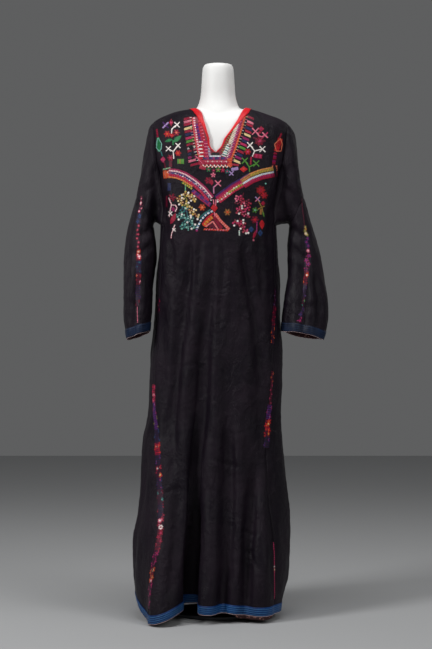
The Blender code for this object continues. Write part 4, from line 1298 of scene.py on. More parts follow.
# %% The neck's own line
# A cut neck never hangs straight: its wearer's right edge lies closer to the neck, and the V's foot
# sinks. Columns: height, shift of the right edge and of the left edge towards the wearer's left,
# and drop of both.
NECK_SHIFTS = table("height right left drop", """
1.27 .006 -.003 .0055
1.282 .008 -.0045 .0055
1.296 .0082 -.0048 .004
1.312 .006 -.0026 .001
1.333 .0046 .002 0
1.355 .006 .0038 0
1.372 .0064 .003 0
1.39 .012 -.0014 0
1.402 .0135 -.004 0
""")
NECK_REACH, NECK_FROM = 0.045, 1.21   # how far the pull reaches, and the height it starts at
V_MIDDLE, V_SOFT = -0.0050, 0.012
V_ROW = row_at(FRONT_SHARES, V_BOTTOM)
edge = np.concatenate([neck_ids[RIGHT][V_ROW:, -1], neck_ids[LEFT][V_ROW:, 0]])
edge = dress.placed[np.unique(dress.same[edge])]
edge_tree = tree_of(edge)
near = np.flatnonzero(dress.placed[:, 2] > NECK_FROM)
places = dress.placed[near]
weight = 1 - fade([edge_tree.find(point)[2] for point in places.tolist()], 0, NECK_REACH)
heights = np.clip(places[:, 2], NECK_SHIFTS[0].height, NECK_SHIFTS[-1].height)
moved = {name: column(NECK_SHIFTS, name, heights, key="height") for name in ("right", "left", "drop")}
leftward = fade(places[:, 0], V_MIDDLE - V_SOFT, V_MIDDLE + V_SOFT)
shift = np.zeros_like(dress.placed)
shift[near, 0] = weight * (moved["right"] * (1 - leftward) + moved["left"] * leftward)
shift[near, 2] = -weight * moved["drop"]
dress.placed = dress.placed + shift
dress.normals = dress.normals_of(dress.placed)
print("the neck's edge moves up to", round(float(np.abs(shift).max() * 1000), 1), "mm")


# %% [markdown]
# ## From points to sheets
# A piece of cloth is an open mesh with its own map in metres, so that the weave keeps its size
# everywhere. Solidify then gives the sheet its thickness, inwards from the outer face.

# %% Making the sheets
CLOTH_THICK = 0.0014


def new_piece(name, points, faces, material, corner_map=None):
    """A mesh object from points and faces, shaded smooth, with its map."""
    mesh = bpy.data.meshes.new(name)
    mesh.from_pydata(np.asarray(points).tolist(), [], [list(face) for face in faces])
    if corner_map is not None:
        layer = mesh.uv_layers.new(name="cloth_map")
        layer.data.foreach_set("uv", np.asarray(corner_map, np.float32).reshape(-1))
    mesh.shade_smooth()
    mesh.materials.append(material)
    return new_object(name, mesh)


def thicken(piece, thickness):
    wall = piece.modifiers.new("wall", "SOLIDIFY")
    wall.thickness, wall.offset = thickness, -1
    return piece


def settle(piece, slot, *nodes):
    """The piece rides on the one body, takes its record slot and hides the solids it stands for."""
    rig.ride(piece, "root")
    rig.slot(piece, slot)
    if nodes:
        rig.replaces(piece, *nodes)
    return piece


cloth = {}
for name, faces in dress.faces.items():
    used, local = np.unique(faces, return_inverse=True)
    sheet = new_piece(f"{name}_cloth", dress.placed[used], local.reshape(-1, 4), BLACK_COTTON,
                      dress.maps[name])
    cloth[name] = settle(thicken(sheet, CLOTH_THICK), "black_cotton", name)
print("cloth pieces:", ", ".join(cloth))

# %% [markdown]
# ## Bands, facings and the binding
# Blue ribbon was sewn round the hem and the cuffs, to guard the edges, and a printed dark
# red cotton faces them inside. The neck is bound with red satin. All of these follow the cloth they
# are sewn on, so they are laid on its own points and lifted by the thickness of a ribbon.

# %% Sheets on a grid
Strip = namedtuple("Strip", "points normals")


def strip_on(ids, lift):
    """The cloth's points under a band, lifted off it."""
    ids = dress.same[ids]
    return Strip(dress.placed[ids] + dress.normals[ids] * lift, dress.normals[ids])


def grid_piece(name, strip, material, closed=False):
    """A sheet on a grid of points, with its faces turned along the strip's normals."""
    points, (rows, columns) = strip.points, strip.points.shape[:2]
    ids = np.arange(rows * columns).reshape(rows, columns)
    around = np.concatenate([points, points[:, :1]], 1) if closed else points
    if closed:
        ids = np.concatenate([ids, ids[:, :1]], 1)
    u = run_of(around[rows // 2])[None, :].repeat(rows, 0)
    v = run_of(points[:, 0])[:, None].repeat(ids.shape[1], 1)
    quads, corners = quads_of(ids), quads_of(np.stack([u, v], -1))
    flat, facing = points.reshape(-1, 3), strip.normals.reshape(-1, 3)
    turned = np.cross(flat[quads[:, 2]] - flat[quads[:, 0]], flat[quads[:, 3]] - flat[quads[:, 1]])
    if np.sum(turned * facing[quads[:, 0]]) < 0:
        quads, corners = quads[:, ::-1], corners[:, ::-1]
    return new_piece(name, flat, quads, material, corners)


print("the hem has", sum(ids.shape[1] for ids in hem_ids), "points round it")

# %% Hem and cuffs
RIBBON_THICK, RIBBON_LIFT = 0.0009, 0.0013
FACING_THICK, FACING_GAP = 0.0007, 0.0006
PUCKER, PUCKER_WAVES = 0.0005, 70    # a sewn ribbon draws the cloth up a little between stitches


def puckered(strip):
    """A ribbon's edges lie down at their stitching, and its middle swells unevenly."""
    points, normals = strip
    rows = len(points)
    across = np.sin(np.linspace(0, math.pi, rows))[:, None]
    uneven = soft_noise(points.reshape(-1, 3), PUCKER_WAVES, PUCKER_WAVES, 1.3).reshape(points.shape[:2])
    return Strip(points + normals * ((across * (0.4 + uneven) * PUCKER)[..., None]), normals)


hem_ids = np.concatenate(hem_ids, 1)
hem_band = grid_piece("hem_ribbon", puckered(strip_on(hem_ids, RIBBON_LIFT)), BLUE_RIBBON, closed=True)
settle(thicken(hem_band, RIBBON_THICK), "blue_ribbon", "hem_band")

facing = strip_on(hem_ids, -CLOTH_THICK - FACING_GAP)
degrees = np.degrees(np.arctan2(-facing.points[0, :, 1], facing.points[0, :, 0])) % 360
start, full, ends, stop = FACING_DROPS
slack = FACING_DROP * fade(degrees, start, full) * (1 - fade(degrees, ends, stop))
facing.points[..., 2] -= slack * np.linspace(1, 0, len(facing.points))[:, None]
hem_facing = grid_piece("hem_print", facing, PRINTED_COTTON, closed=True)
settle(thicken(hem_facing, FACING_THICK), "printed_cotton", "hem_facing")

cuffs = {}
for side, name in SIDE_NAMES.items():
    ids = np.concatenate(cuff_ids[side], 1)
    band = puckered(strip_on(ids[RINGS_A_SECTION:], RIBBON_LIFT))
    cuffs[side] = grid_piece(f"cuff_ribbon_{name}", band, DARKER_CUFF_RIBBON, closed=True)
    settle(thicken(cuffs[side], RIBBON_THICK), "blue_ribbon", f"cuff_band_{name}")
    inside = strip_on(ids, -CLOTH_THICK - FACING_GAP)
    lining = grid_piece(f"cuff_print_{name}", inside, PRINTED_COTTON, closed=True)
    settle(thicken(lining, FACING_THICK), "printed_cotton", f"cuff_facing_{name}")
print("hem ribbon of", len(hem_band.data.vertices), "points and", len(cuffs), "cuffs with facings")


# %% A bead of cord along a line of points
def beaded(name, line, radius, material):
    """A round cord along a closed line, as a mesh."""
    data = bpy.data.curves.new(name, "CURVE")
    data.dimensions, data.bevel_depth, data.bevel_resolution = "3D", radius, 1
    spline = data.splines.new("POLY")
    spline.points.add(len(line) - 1)
    for point, place in zip(spline.points, line):
        point.co = (*place, 1)
    spline.use_cyclic_u = True
    cord = bpy.data.objects.new(name, data)
    mesh = bpy.data.meshes.new_from_object(cord)
    bpy.data.objects.remove(cord)
    mesh.name = name
    mesh.materials.clear()
    mesh.materials.append(material)
    mesh.shade_smooth()
    return new_object(name, mesh)


EDGE_RADIUS, EDGE_LIFT, EDGE_DROP = 0.0008, 0.0004, 0.0006
edge_line = strip_on(hem_ids[:1], EDGE_LIFT).points[0] - [0, 0, EDGE_DROP]
hem_edge = beaded("hem_edge_cord", edge_line, EDGE_RADIUS, PALE_EDGE)
settle(hem_edge, "blue_ribbon")
for side, name in SIDE_NAMES.items():
    last = strip_on(np.concatenate(cuff_ids[side], 1)[-1:], EDGE_LIFT).points[0]
    settle(beaded(f"cuff_edge_cord_{name}", last, EDGE_RADIUS, PALE_EDGE), "blue_ribbon")
print("the hem's edge is", round(run_of(edge_line)[-1], 2), "m round, with its folds")

# %% [markdown]
# ## The neck
# The red satin is folded over the raw edge: wide at the shoulders and narrow down the V, where the
# silk reaches the edge. A pale pink cord runs along its fold: partly worn satin, partly a painted
# highlight of the shine on the fold. Under the silk lies a strip of crimson cloth, up both sides of
# the V and across below it.

# %% Red binding
BOUND_WIDTHS = table("share width", """
.6 .0025
.74 .004
.83 .0075
.89 .013
.94 .018
1 .016
""")
BACK_BOUND = BOUND_INSIDE = 0.012
WIDTH_CHANGE_ROWS = 6                # rows behind the shoulder in which the binding narrows
NECK_EDGE_RADIUS = 0.0010
BINDING_THICK, BINDING_LIFT = 0.0007, 0.0013
SIDES_OF_FOLD = 5


def row_places(rows, distances):
    """Places along each row of points, at given distances from its first point."""
    made = np.empty((len(rows), distances.shape[1], 3))
    for i, (row, wanted) in enumerate(zip(rows, distances)):
        run = run_of(row)
        for axis in range(3):
            made[i, :, axis] = np.interp(wanted, run, row[:, axis])
    return made


BAR_ROW = row_at(FRONT_SHARES, BAR_BOTTOM)
BACK_ROW = len(FRONT_SHARES) - 1 + row_at(BEHIND_SHARES, BACK_NECK)


def bound_widths():
    shares, widths = zip(*BOUND_WIDTHS)
    front = np.interp(FRONT_SHARES, shares, widths)
    behind = np.full(len(BEHIND_SHARES) - 1, BACK_BOUND)
    behind[:WIDTH_CHANGE_ROWS] = np.linspace(widths[-1], BACK_BOUND, WIDTH_CHANGE_ROWS)
    return np.concatenate([front, behind])[V_ROW:BACK_ROW + 1]


def binding(side):
    """The folded strip: down on the outer face, round the raw edge and down on the inner face."""
    ids = neck_ids[side][V_ROW:BACK_ROW + 1]
    ids = dress.same[ids[:, ::-1] if side < 0 else ids]
    rows, normals = dress.placed[ids], dress.normals[ids][:, 0]
    out = unit(rows[:, 0] - rows[:, 2])
    shares = np.linspace(1, 0, SIDES_OF_FOLD)
    outer = row_places(rows, bound_widths()[:, None] * shares)
    inner = row_places(rows, BOUND_INSIDE * shares[::-1] * np.ones((len(rows), 1)))
    swell = 1 + 0.3 * np.sin(shares * math.pi)
    outer = outer + normals[:, None] * (BINDING_LIFT * swell)[None, :, None]
    inner = inner - normals[:, None] * (CLOTH_THICK + BINDING_LIFT)
    turn = (outer[:, -1] + inner[:, 0]) / 2 + out * (BINDING_LIFT + BINDING_THICK)
    points = np.concatenate([outer, turn[:, None], inner], 1)
    across = np.linspace(1, -1, points.shape[1])[None, :, None]
    facing = normals[:, None] * across + out[:, None] * (1 - np.abs(across))
    return Strip(points, facing)


for side, name in SIDE_NAMES.items():
    bound = grid_piece(f"neck_satin_{name}", binding(side), RED_BINDING)
    settle(thicken(bound, BINDING_THICK), "red_binding", f"neck_binding_{name}")
folds = {side: binding(side).points[:, SIDES_OF_FOLD] for side in SIDE_NAMES}
edge_loop = np.concatenate([folds[RIGHT], folds[LEFT][::-1][1:-1]])
# The pale pink cord on the fold is partly worn satin and partly a painted highlight of the satin's shine.
settle(beaded("neck_edge_cord", edge_loop, NECK_EDGE_RADIUS, WORN_AND_SHEEN_PINK), "red_binding")
print("the neck's edge is", round(run_of(edge_loop)[-1], 3), "m round")


# %% Crimson strip under the silk
GROUND_LIFT, GROUND_THICK, GROUND_TOP = 0.0006, 0.0005, 0.905
TOP_ROW = row_at(FRONT_SHARES, GROUND_TOP)
ground_parts = []
for side, name in SIDE_NAMES.items():
    inward = slice(ARM_COLUMNS, None) if side < 0 else slice(0, BRAID_COLUMNS + BINDING_COLUMNS + 1)
    ground_parts.append(strip_on(neck_ids[side][BAR_ROW:TOP_ROW + 1, inward], GROUND_LIFT))
    ground = grid_piece(f"neck_ground_{name}", ground_parts[-1], SILK_GROUND)
    settle(thicken(ground, GROUND_THICK), "embroidery", "neck_band")
print("the crimson strip runs", round(run_of(ground_parts[0].points[:, 0])[-1], 3), "m up the right side")

# %% [markdown]
# ## The dress form and its stand
# A display form is a smooth moulded shell painted matt white, with a slim neck that flows into the
# shoulders. Here the shoulders and the neck are made as two closed shapes, joined by a voxel skin
# and rubbed smooth, which is much like the filler and sandpaper of the real one. A steel pole and a
# round plate carry it.

# %% The form's rings
FORM_SHRINK = 0.92
FORM_GAP = 0.0030
INSET_FROM, INSET_GROWS = 0.90, 0.06   # share of the height from which it follows the cloth closely
CHEST_MIDDLE, CHEST_BELOW = 0.008, 0.07   # the point that it shrinks towards there: X, and how far down
Turn = namedtuple("Turn", "radius z")
TORSO = table("z wide front back", """
.77 .122 .086 .082
.784 .134 .098 .092
.84 .139 .104 .095
.96 .128 .098 .086
""")
TORSO_SQUARE = 2.3
NECK = table(Turn, """
.056 1.34
.069 1.382
.066 1.4
.0585 1.415
.0505 1.44
.0465 1.485
.043 1.527
.0405 1.5345
.037 1.537
""")
NECK_X, NECK_SIDES, TORSO_SIDES = 0.003, 64, 96


def torso_ring(z, wide, front, back):
    """A closed ring of the lower torso, from the wearer's right, round the front to the left."""
    angle = math.pi * (1 - np.arange(TORSO_SIDES) / (TORSO_SIDES / 2))
    x = wide * np.sign(np.cos(angle)) * np.abs(np.cos(angle)) ** (2 / TORSO_SQUARE)
    deep = np.where(np.sin(angle) > 0, -front, back)
    return np.stack([x, deep * np.abs(np.sin(angle)) ** (2 / TORSO_SQUARE), np.full_like(x, z)], -1)


def shoulder_ring(share):
    """A ring of the chest: the cloth's own form made smaller, and just under the cloth higher up."""
    count = TORSO_SIDES // 2
    ends = {side: hole.low_x + (hole.high_x - hole.low_x) * share for side, hole in ARMHOLES.items()}
    xs = np.linspace(ends[RIGHT], ends[LEFT], count + 1)
    front = bodice_points(xs, np.full_like(xs, share), True)
    back = bodice_points(xs[::-1], np.full_like(xs, share), False)
    ring = np.concatenate([front[:-1], back[:-1]])
    near = float(fade(share, INSET_FROM - INSET_GROWS, INSET_FROM))
    small = ring * [FORM_SHRINK, FORM_SHRINK, 1]
    middle = np.array([CHEST_MIDDLE, 0, ring[:, 2].mean() - CHEST_BELOW])
    under = ring - unit(ring - middle) * (CLOTH_THICK + FORM_GAP)
    return small * (1 - near) + under * near


def ring_mesh(rings):
    """A closed skin through rings of equal count."""
    points = np.concatenate(rings)
    size = len(rings[0])
    faces = [tuple(range(size))[::-1], tuple(range(len(points) - size, len(points)))]
    for start in range(0, len(points) - size, size):
        for c in range(size):
            a, b = start + c, start + (c + 1) % size
            faces.append((a, b, b + size, a + size))
    return points, faces


def turned_ring(turn, sides, x=0.0):
    angle = math.pi * (1 - 2 * np.arange(sides) / sides)
    return np.stack([x + turn.radius * np.cos(angle), -turn.radius * np.sin(angle),
                     np.full(sides, turn.z)], -1)


def smooth_profile(profile, steps):
    """More turns between those of a profile, on a smooth curve."""
    zs = np.linspace(profile[0].z, profile[-1].z, steps)
    radii = curve(zs, [turn.z for turn in profile], [turn.radius for turn in profile])
    return [Turn(float(radius), float(z)) for radius, z in zip(radii, zs)]


print("the neck is", round(NECK[-1].z - NECK[0].z, 3), "m long and", 2 * NECK[-1].radius, "m wide at its top")

# %% The form as one skin
VOXEL = 0.005
RUBBINGS = 12
torso_zs, *torso_sizes = zip(*TORSO)
rings = [torso_ring(z, *(float(curve(z, torso_zs, sizes)) for sizes in torso_sizes))
         for z in np.linspace(torso_zs[0], torso_zs[-1], 12)]
top_shares = 1 - (1 - INSET_FROM) * np.linspace(1, 0, 10)[1:] ** 1.5
rings += [shoulder_ring(share) for share in [*np.linspace(0, INSET_FROM, 22), *top_shares]]
torso_points, torso_faces = ring_mesh(rings)
neck_points, neck_faces = ring_mesh([turned_ring(turn, NECK_SIDES, NECK_X)
                                     for turn in smooth_profile(NECK, 40)])
neck_faces = [[i + len(torso_points) for i in face] for face in neck_faces]
form = new_piece("form_shell", np.concatenate([torso_points, neck_points]),
                 torso_faces + neck_faces, WHITE_FORM)
skin = form.modifiers.new("skin", "REMESH")
skin.mode, skin.voxel_size, skin.use_smooth_shade = "VOXEL", VOXEL, True
rub = form.modifiers.new("rub", "SMOOTH")
rub.factor, rub.iterations = 0.6, RUBBINGS
settle(form, "white_form", "form_torso")
print("the form is", round(torso_points[:, 2].min(), 3), "to", round(neck_points[:, 2].max(), 3), "m high")

# %% Pole and base
BASE_HEIGHT, BASE_RADIUS, BASE_EDGE = 0.010, 0.125, 0.002
POLE_RADIUS, FLANGE_RADIUS, FLANGE_HEIGHT, STAND_GAP = 0.0125, 0.034, 0.008, 0.0003
STAND_SIDES = 64
pole_low, pole_high = BASE_HEIGHT + STAND_GAP, TORSO[0].z - STAND_GAP
flange = [Turn(0.004, 0), Turn(FLANGE_RADIUS - 0.001, 0), Turn(FLANGE_RADIUS, 0.001),
          Turn(FLANGE_RADIUS, FLANGE_HEIGHT - 0.0015), Turn(FLANGE_RADIUS - 0.0015, FLANGE_HEIGHT),
          Turn(POLE_RADIUS + 0.004, FLANGE_HEIGHT), Turn(POLE_RADIUS, FLANGE_HEIGHT + 0.004)]
pole_profile = [Turn(turn.radius, pole_low + turn.z) for turn in flange]
pole_profile += [Turn(turn.radius, pole_high - turn.z) for turn in reversed(flange)]
base_profile = [Turn(0.004, 0), Turn(BASE_RADIUS - BASE_EDGE, 0), Turn(BASE_RADIUS, BASE_EDGE / 2),
                Turn(BASE_RADIUS, BASE_HEIGHT - BASE_EDGE), Turn(BASE_RADIUS - BASE_EDGE, BASE_HEIGHT),
                Turn(0.004, BASE_HEIGHT)]
for name, profile in (("pole", pole_profile), ("base", base_profile)):
    points, faces = ring_mesh([turned_ring(turn, STAND_SIDES) for turn in profile])
    turned = new_piece(f"steel_{name}", points, faces, SHADE_DARKENED_STEEL)
    turned.data.set_sharp_from_angle(angle=math.radians(40))
    settle(turned, "stand_steel", f"form_{name}")
    print(name, "of", len(faces), "faces")

# %% [markdown]
# ## The cut of every piece
# Before sewing, each piece lay flat on a table: long panels for the front and the back, a wedge for
# each side, and a short upper and a two-part lower sleeve. Here stands the size of each piece as it
# was cut, with its flat area where it isn't a rectangle, so that anyone can see that the hung cloth
# is neither stretched nor shrunk.

# %% Flat sizes
CUTS = table("piece width length area held rests_on", """
front_panel_cloth .54 1.48 .588 hung form_torso
back_panel_cloth .56 1.42 .593 hung form_torso
gore_right_cloth .32 1.09 .196 hung front_panel+back_panel
gore_left_cloth .3 1.09 .185 hung front_panel+back_panel
upper_sleeve_right_cloth .33 .215 .047 hung front_panel+back_panel
upper_sleeve_left_cloth .31 .215 .05 hung front_panel+back_panel
sleeve_outer_right_cloth .19 .41 .062 hung upper_sleeve_right
sleeve_outer_left_cloth .18 .41 .06 hung upper_sleeve_left
sleeve_inner_right_cloth .165 .41 .049 hung upper_sleeve_right
sleeve_inner_left_cloth .16 .41 .049 hung upper_sleeve_left
hem_ribbon 1.74 .025 .0425 laid front_panel+back_panel
hem_print 1.725 .026 .043 laid front_panel+back_panel
cuff_ribbon_right .31 .026 .008 laid sleeve_outer_right
cuff_ribbon_left .362 .025 .009 laid sleeve_outer_left
cuff_print_right .305 .066 .0197 laid sleeve_outer_right
cuff_print_left .352 .064 .022 laid sleeve_outer_left
neck_satin_right .03 .36 .0075 folded front_panel+back_panel
neck_satin_left .03 .36 .0075 folded front_panel+back_panel
neck_ground_right .026 .21 .0042 laid front_panel
neck_ground_left .026 .21 .0042 laid front_panel
""")
for cut in CUTS:
    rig.sheet(bpy.data.objects[cut.piece], flat=(cut.width, cut.length), area=cut.area, held=cut.held,
             rests_on=cut.rests_on.split("+"))
print(len(CUTS), "sheets,", round(sum(cut.area for cut in CUTS), 2), "square metres in all")

# %% [markdown]
# ## Silk embroidery
# The chest, the sleeve seams and the side seams are worked in floss silk. A needlewoman counts a
# chart of small squares, and fills each shape with satin stitch: threads side by side across it.
# So every figure here is drawn on such a chart and comes down to single stitches, each with a start,
# an end and a colour. Columns are counted to the wearer's left from the V's lowest point, and rows
# upwards from it.

# %% Silk colours
SILK = {row.name: row[1:] for row in table("name red green blue", """
crimson .34 .003 .036
red .52 .008 .016
wine .12 .002 .02
orange .6 .085 .014
salmon .64 .17 .09
pink .68 .19 .27
rose .5 .026 .12
magenta .29 .006 .11
purple .078 .014 .15
lavender .36 .24 .46
navy .012 .017 .085
blue .016 .055 .17
sky .36 .48 .6
teal .018 .15 .15
mint .19 .43 .36
green .014 .19 .06
leaf .09 .27 .036
olive .25 .23 .04
yellow .58 .37 .06
cream .68 .53 .27
white .78 .72 .69
ochre .36 .15 .035
black .005 .004 .006
plum .036 .003 .02
ink .01 .007 .036
""")}
print(len(SILK), "colours of silk")

# %% Stitches on the chart
SQUARE = 0.00273                     # side of a chart square on the cloth
THREAD = 0.40                        # step between neighbouring stitches, in squares
GOLDEN_ANGLE = 2.39996
PETAL_THREADS = ((-0.26, 0.86), (0, 1.0), (0.26, 0.86))   # how far each leans, and its length
PETAL_FROM, PETAL_HEART, LEAF_TIP = 0.14, 0.30, 0.12


def stations_on(path, step=THREAD):
    """Places along a path at even steps, with the direction across it at each."""
    path = np.array(path, float)
    run = run_of(path)
    count = max(2, round(run[-1] / step) + 1)
    at = np.linspace(0, run[-1], count)
    places = np.stack([np.interp(at, run, path[:, axis]) for axis in (0, 1)], -1)
    ahead = unit(np.gradient(places, axis=0))
    return places, np.stack([-ahead[:, 1], ahead[:, 0]], -1)


def coloured(colours, count, each):
    """A colour for each of count stitches: one name, or names taken in turn, some stitches each."""
    names = [colours] if isinstance(colours, str) else colours
    return [names[i // each % len(names)] for i in range(count)]


def satin(path, width, colours, each=2, slant=0.0):
    """Stitches side by side across a path. A slant leans them along it."""
    places, across = stations_on(path)
    ahead = np.stack([across[:, 1], -across[:, 0]], -1)
    half = (across + ahead * slant) * width / 2
    names = coloured(colours, len(places), each)
    return list(zip(places - half, places + half, names))


def band(path, offset, width, colours):
    """A satin line beside a path, so far to its left."""
    places, across = stations_on(path, 1.0)
    return satin(places + across * offset, width, colours)


print("a square takes", round(1 / THREAD, 1), "stitches side by side")


# %% Rows along a path
def ladder(places, colours, length, slope):
    """One bar of satin at each place, threads along it."""
    made = []
    for (x, y), name in zip(places, colours):
        made += satin([(x, y - 1.0), (x, y + 1.0)], length, name, slant=slope)
    return made


def teeth(path, height, colours, pitch, thick):
    """Single threads standing up from a path at a pitch, like a comb."""
    places, across = stations_on(path, pitch)
    names = coloured(colours, len(places), 1)
    made = []
    for place, out, name in zip(places, across, names):
        for k in range(thick):
            shift = np.array([out[1], -out[0]]) * THREAD * k
            made.append((place + shift, place + shift + out * height, name))
    return made


def triangles(path, height, colours, pitch=2.4):
    """A row of solid triangles along a path, pointing to its left, or its right if height is negative."""
    places, across = stations_on(path)
    run = np.arange(len(places)) * THREAD / pitch
    tall = 1 - np.abs(2 * (run % 1) - 1)
    names = coloured(colours, int(run[-1]) + 1, 1)
    return [(place, place + out * height * share, names[int(at)])
            for place, out, share, at in zip(places, across, tall, run) if share > 0.2]


def zigzag(path, height, colours, pitch, width):
    """A zigzag line along a path."""
    places, across = stations_on(path, pitch / 2)
    turns = places + across * (np.arange(len(places)) % 2 - 0.5)[:, None] * height
    return satin(turns, width, colours, each=4)


print("a row of triangles 10 squares long takes", len(triangles([(0, 0), (10, 0)], 2, ["red"])), "stitches")


# %% Dots, berries, diamonds and crosses
BERRY, PAINTED_GLINT = 2.0, 0.36             # a berry's size in squares, and its painted highlight as a share of it
SHORTEST = 0.06                      # the square of half a dot's shortest stitch
INNER_WIDE, INNER_HIGH = 0.45, 0.4   # a diamond's middle, as shares of its size


def dot(x, y, colour, size=1.9):
    """A small raised dot: a few short threads beside each other."""
    count = max(3, round(size / THREAD))
    offsets = (np.arange(count) - (count - 1) / 2) * THREAD
    halves = np.sqrt(np.maximum(size**2 / 4 - offsets**2, SHORTEST))
    return [((x + o, y - h), (x + o, y + h), colour) for o, h in zip(offsets, halves)]


def dots(places, colours, size):
    made = []
    for (x, y), name in zip(places, coloured(colours, len(places), 1)):
        made += dot(x, y, name, size)
    return made


def bunch(x, y, wide, high, count, colours):
    """Berries packed in an oval, each turned a golden angle on from the last, with a painted highlight: a small pale
    dot in its middle.
    """
    turns = np.arange(count) * GOLDEN_ANGLE
    reach = np.sqrt((np.arange(count) + 0.5) / count)
    places = list(zip(x + wide / 2 * reach * np.cos(turns), y + high / 2 * reach * np.sin(turns)))
    # The second, smaller dots are painted highlights, in the bunch's last and palest colour.
    return dots(places, colours, BERRY) + dots(places, colours[-1], BERRY * PAINTED_GLINT)


def diamond(x, y, wide, high, colour, middle=None):
    """A diamond of upright threads, with a small one of another colour in its middle."""
    offsets = np.arange(-wide / 2, wide / 2 + 0.01, THREAD)
    made = [((x + o, y - h), (x + o, y + h), colour)
            for o in offsets for h in [high / 2 * (1 - abs(o) / (wide / 2 + THREAD))]]
    return made + (diamond(x, y, wide * INNER_WIDE, high * INNER_HIGH, middle) if middle else [])


def cross(x, y, size, colours, width=1.0):
    """An X of two satin arms."""
    half = size / 2
    names = [colours] * 2 if isinstance(colours, str) else colours
    return (satin([(x - half, y - half), (x + half, y + half)], width, names[0])
            + satin([(x - half, y + half), (x + half, y - half)], width, names[1]))


print("a bunch of ten berries takes", len(bunch(0, 0, 8, 8, 10, ["red", "white"])), "stitches")


# %% Flowers, leaves, twigs and amulets
TWIG_WIDE, CHARM_EDGE = 0.95, 0.9    # widths of the lines of a twig and round a charm
CHARM_FILL = 0.62                    # the filled share of a charm's width


def flower(x, y, size, colour, middle, petals=6, turn=0.0):
    """Petals of three threads that fan out from a small middle."""
    made = []
    for k in range(petals):
        angle = turn + 2 * math.pi * k / petals
        for lean, length in PETAL_THREADS:
            way = np.array([math.cos(angle + lean), math.sin(angle + lean)]) * size
            made.append(((x, y) + way * PETAL_FROM, (x, y) + way * 0.5 * length, colour))
    return made + dot(x, y, middle, size * PETAL_HEART)


def leaf(start, end, width, colour):
    """A leaf: stitches across a line, widest in its middle."""
    places, across = stations_on([start, end])
    swell = np.sin(np.linspace(LEAF_TIP, math.pi - LEAF_TIP, len(places)))
    return [(place - out * width / 2 * share, place + out * width / 2 * share, colour)
            for place, out, share in zip(places, across, swell)]


def antler(x, y, foot, right_end, left_end, colour, size=4.6):
    """A forked twig: a stem from its foot, and a crossed end on each arm."""
    made = []
    for end in (foot, right_end, left_end):
        made += satin([(x, y), end], TWIG_WIDE, colour)
    return made + cross(*right_end, size, colour, TWIG_WIDE) + cross(*left_end, size, colour, TWIG_WIDE)


def amulet(outline, colour, edge):
    """A narrow leaf-shaped charm: a filled shape with a pale edge."""
    wide = max(x for x, _ in outline) - min(x for x, _ in outline)
    made = satin([outline[0], outline[len(outline) // 2]], wide * CHARM_FILL, colour)
    return made + satin(outline + outline[:1], CHARM_EDGE, edge)


FIGURES = {figure.__name__: figure for figure in (satin, band, ladder, teeth, triangles, zigzag, dot, bunch,
                                                  diamond, cross, flower, leaf, antler, amulet)}
print("a flower of six petals takes", len(flower(0, 0, 6, "red", "pink")), "stitches")

# %% [markdown]
# ## The chart of the chest
# Bars like a ladder stand on both sides of the V. Beside them are small flowers, twigs and amulets,
# then a wide chevron of bands, and under it trees of dots. Colours change wherever the thread ran
# out, so no two bars or flowers are quite alike.
# A chart is written as a needlewoman would call it out: on each line a figure, its place in
# columns and rows, its size in squares, and its colours. A path is places joined by semicolons.

# %% Lines that other figures follow, and one turn
CALLED = {row.name: row.meaning for row in table("name meaning", """
upright 1.5708
right_outer -23.2,38.5;-22.2,28;-20.4,17;-18.4,6;-16,-4
left_outer 30.6,39.5;28,30;24.6,19;20.8,7;16.6,-4
right_arm -46,-12.4;-37,-13.4;-28,-16.8;-18,-23.4;-9,-31.2;-1.4,-40.4
lower_arm 0,-40.4;8,-34.4;16,-28.4;25,-23.2;34,-17.6
upper_arm 25,-23.2;34,-17.6;45,-13.4;57.6,-10.8
""")}


def chart(place, text):
    """The stitches of a chart, figure by figure."""
    made = []
    lines = [line.split() for line in text.split("\n") if line]
    for figure, *words in lines:
        made += FIGURES[figure](*(CALLED.get(word, cell(word)) for word in words))
    print(place, "has", len(lines), "figures and", len(made), "stitches")
    return made


print(len(CALLED) - 1, "lines guide the bands")

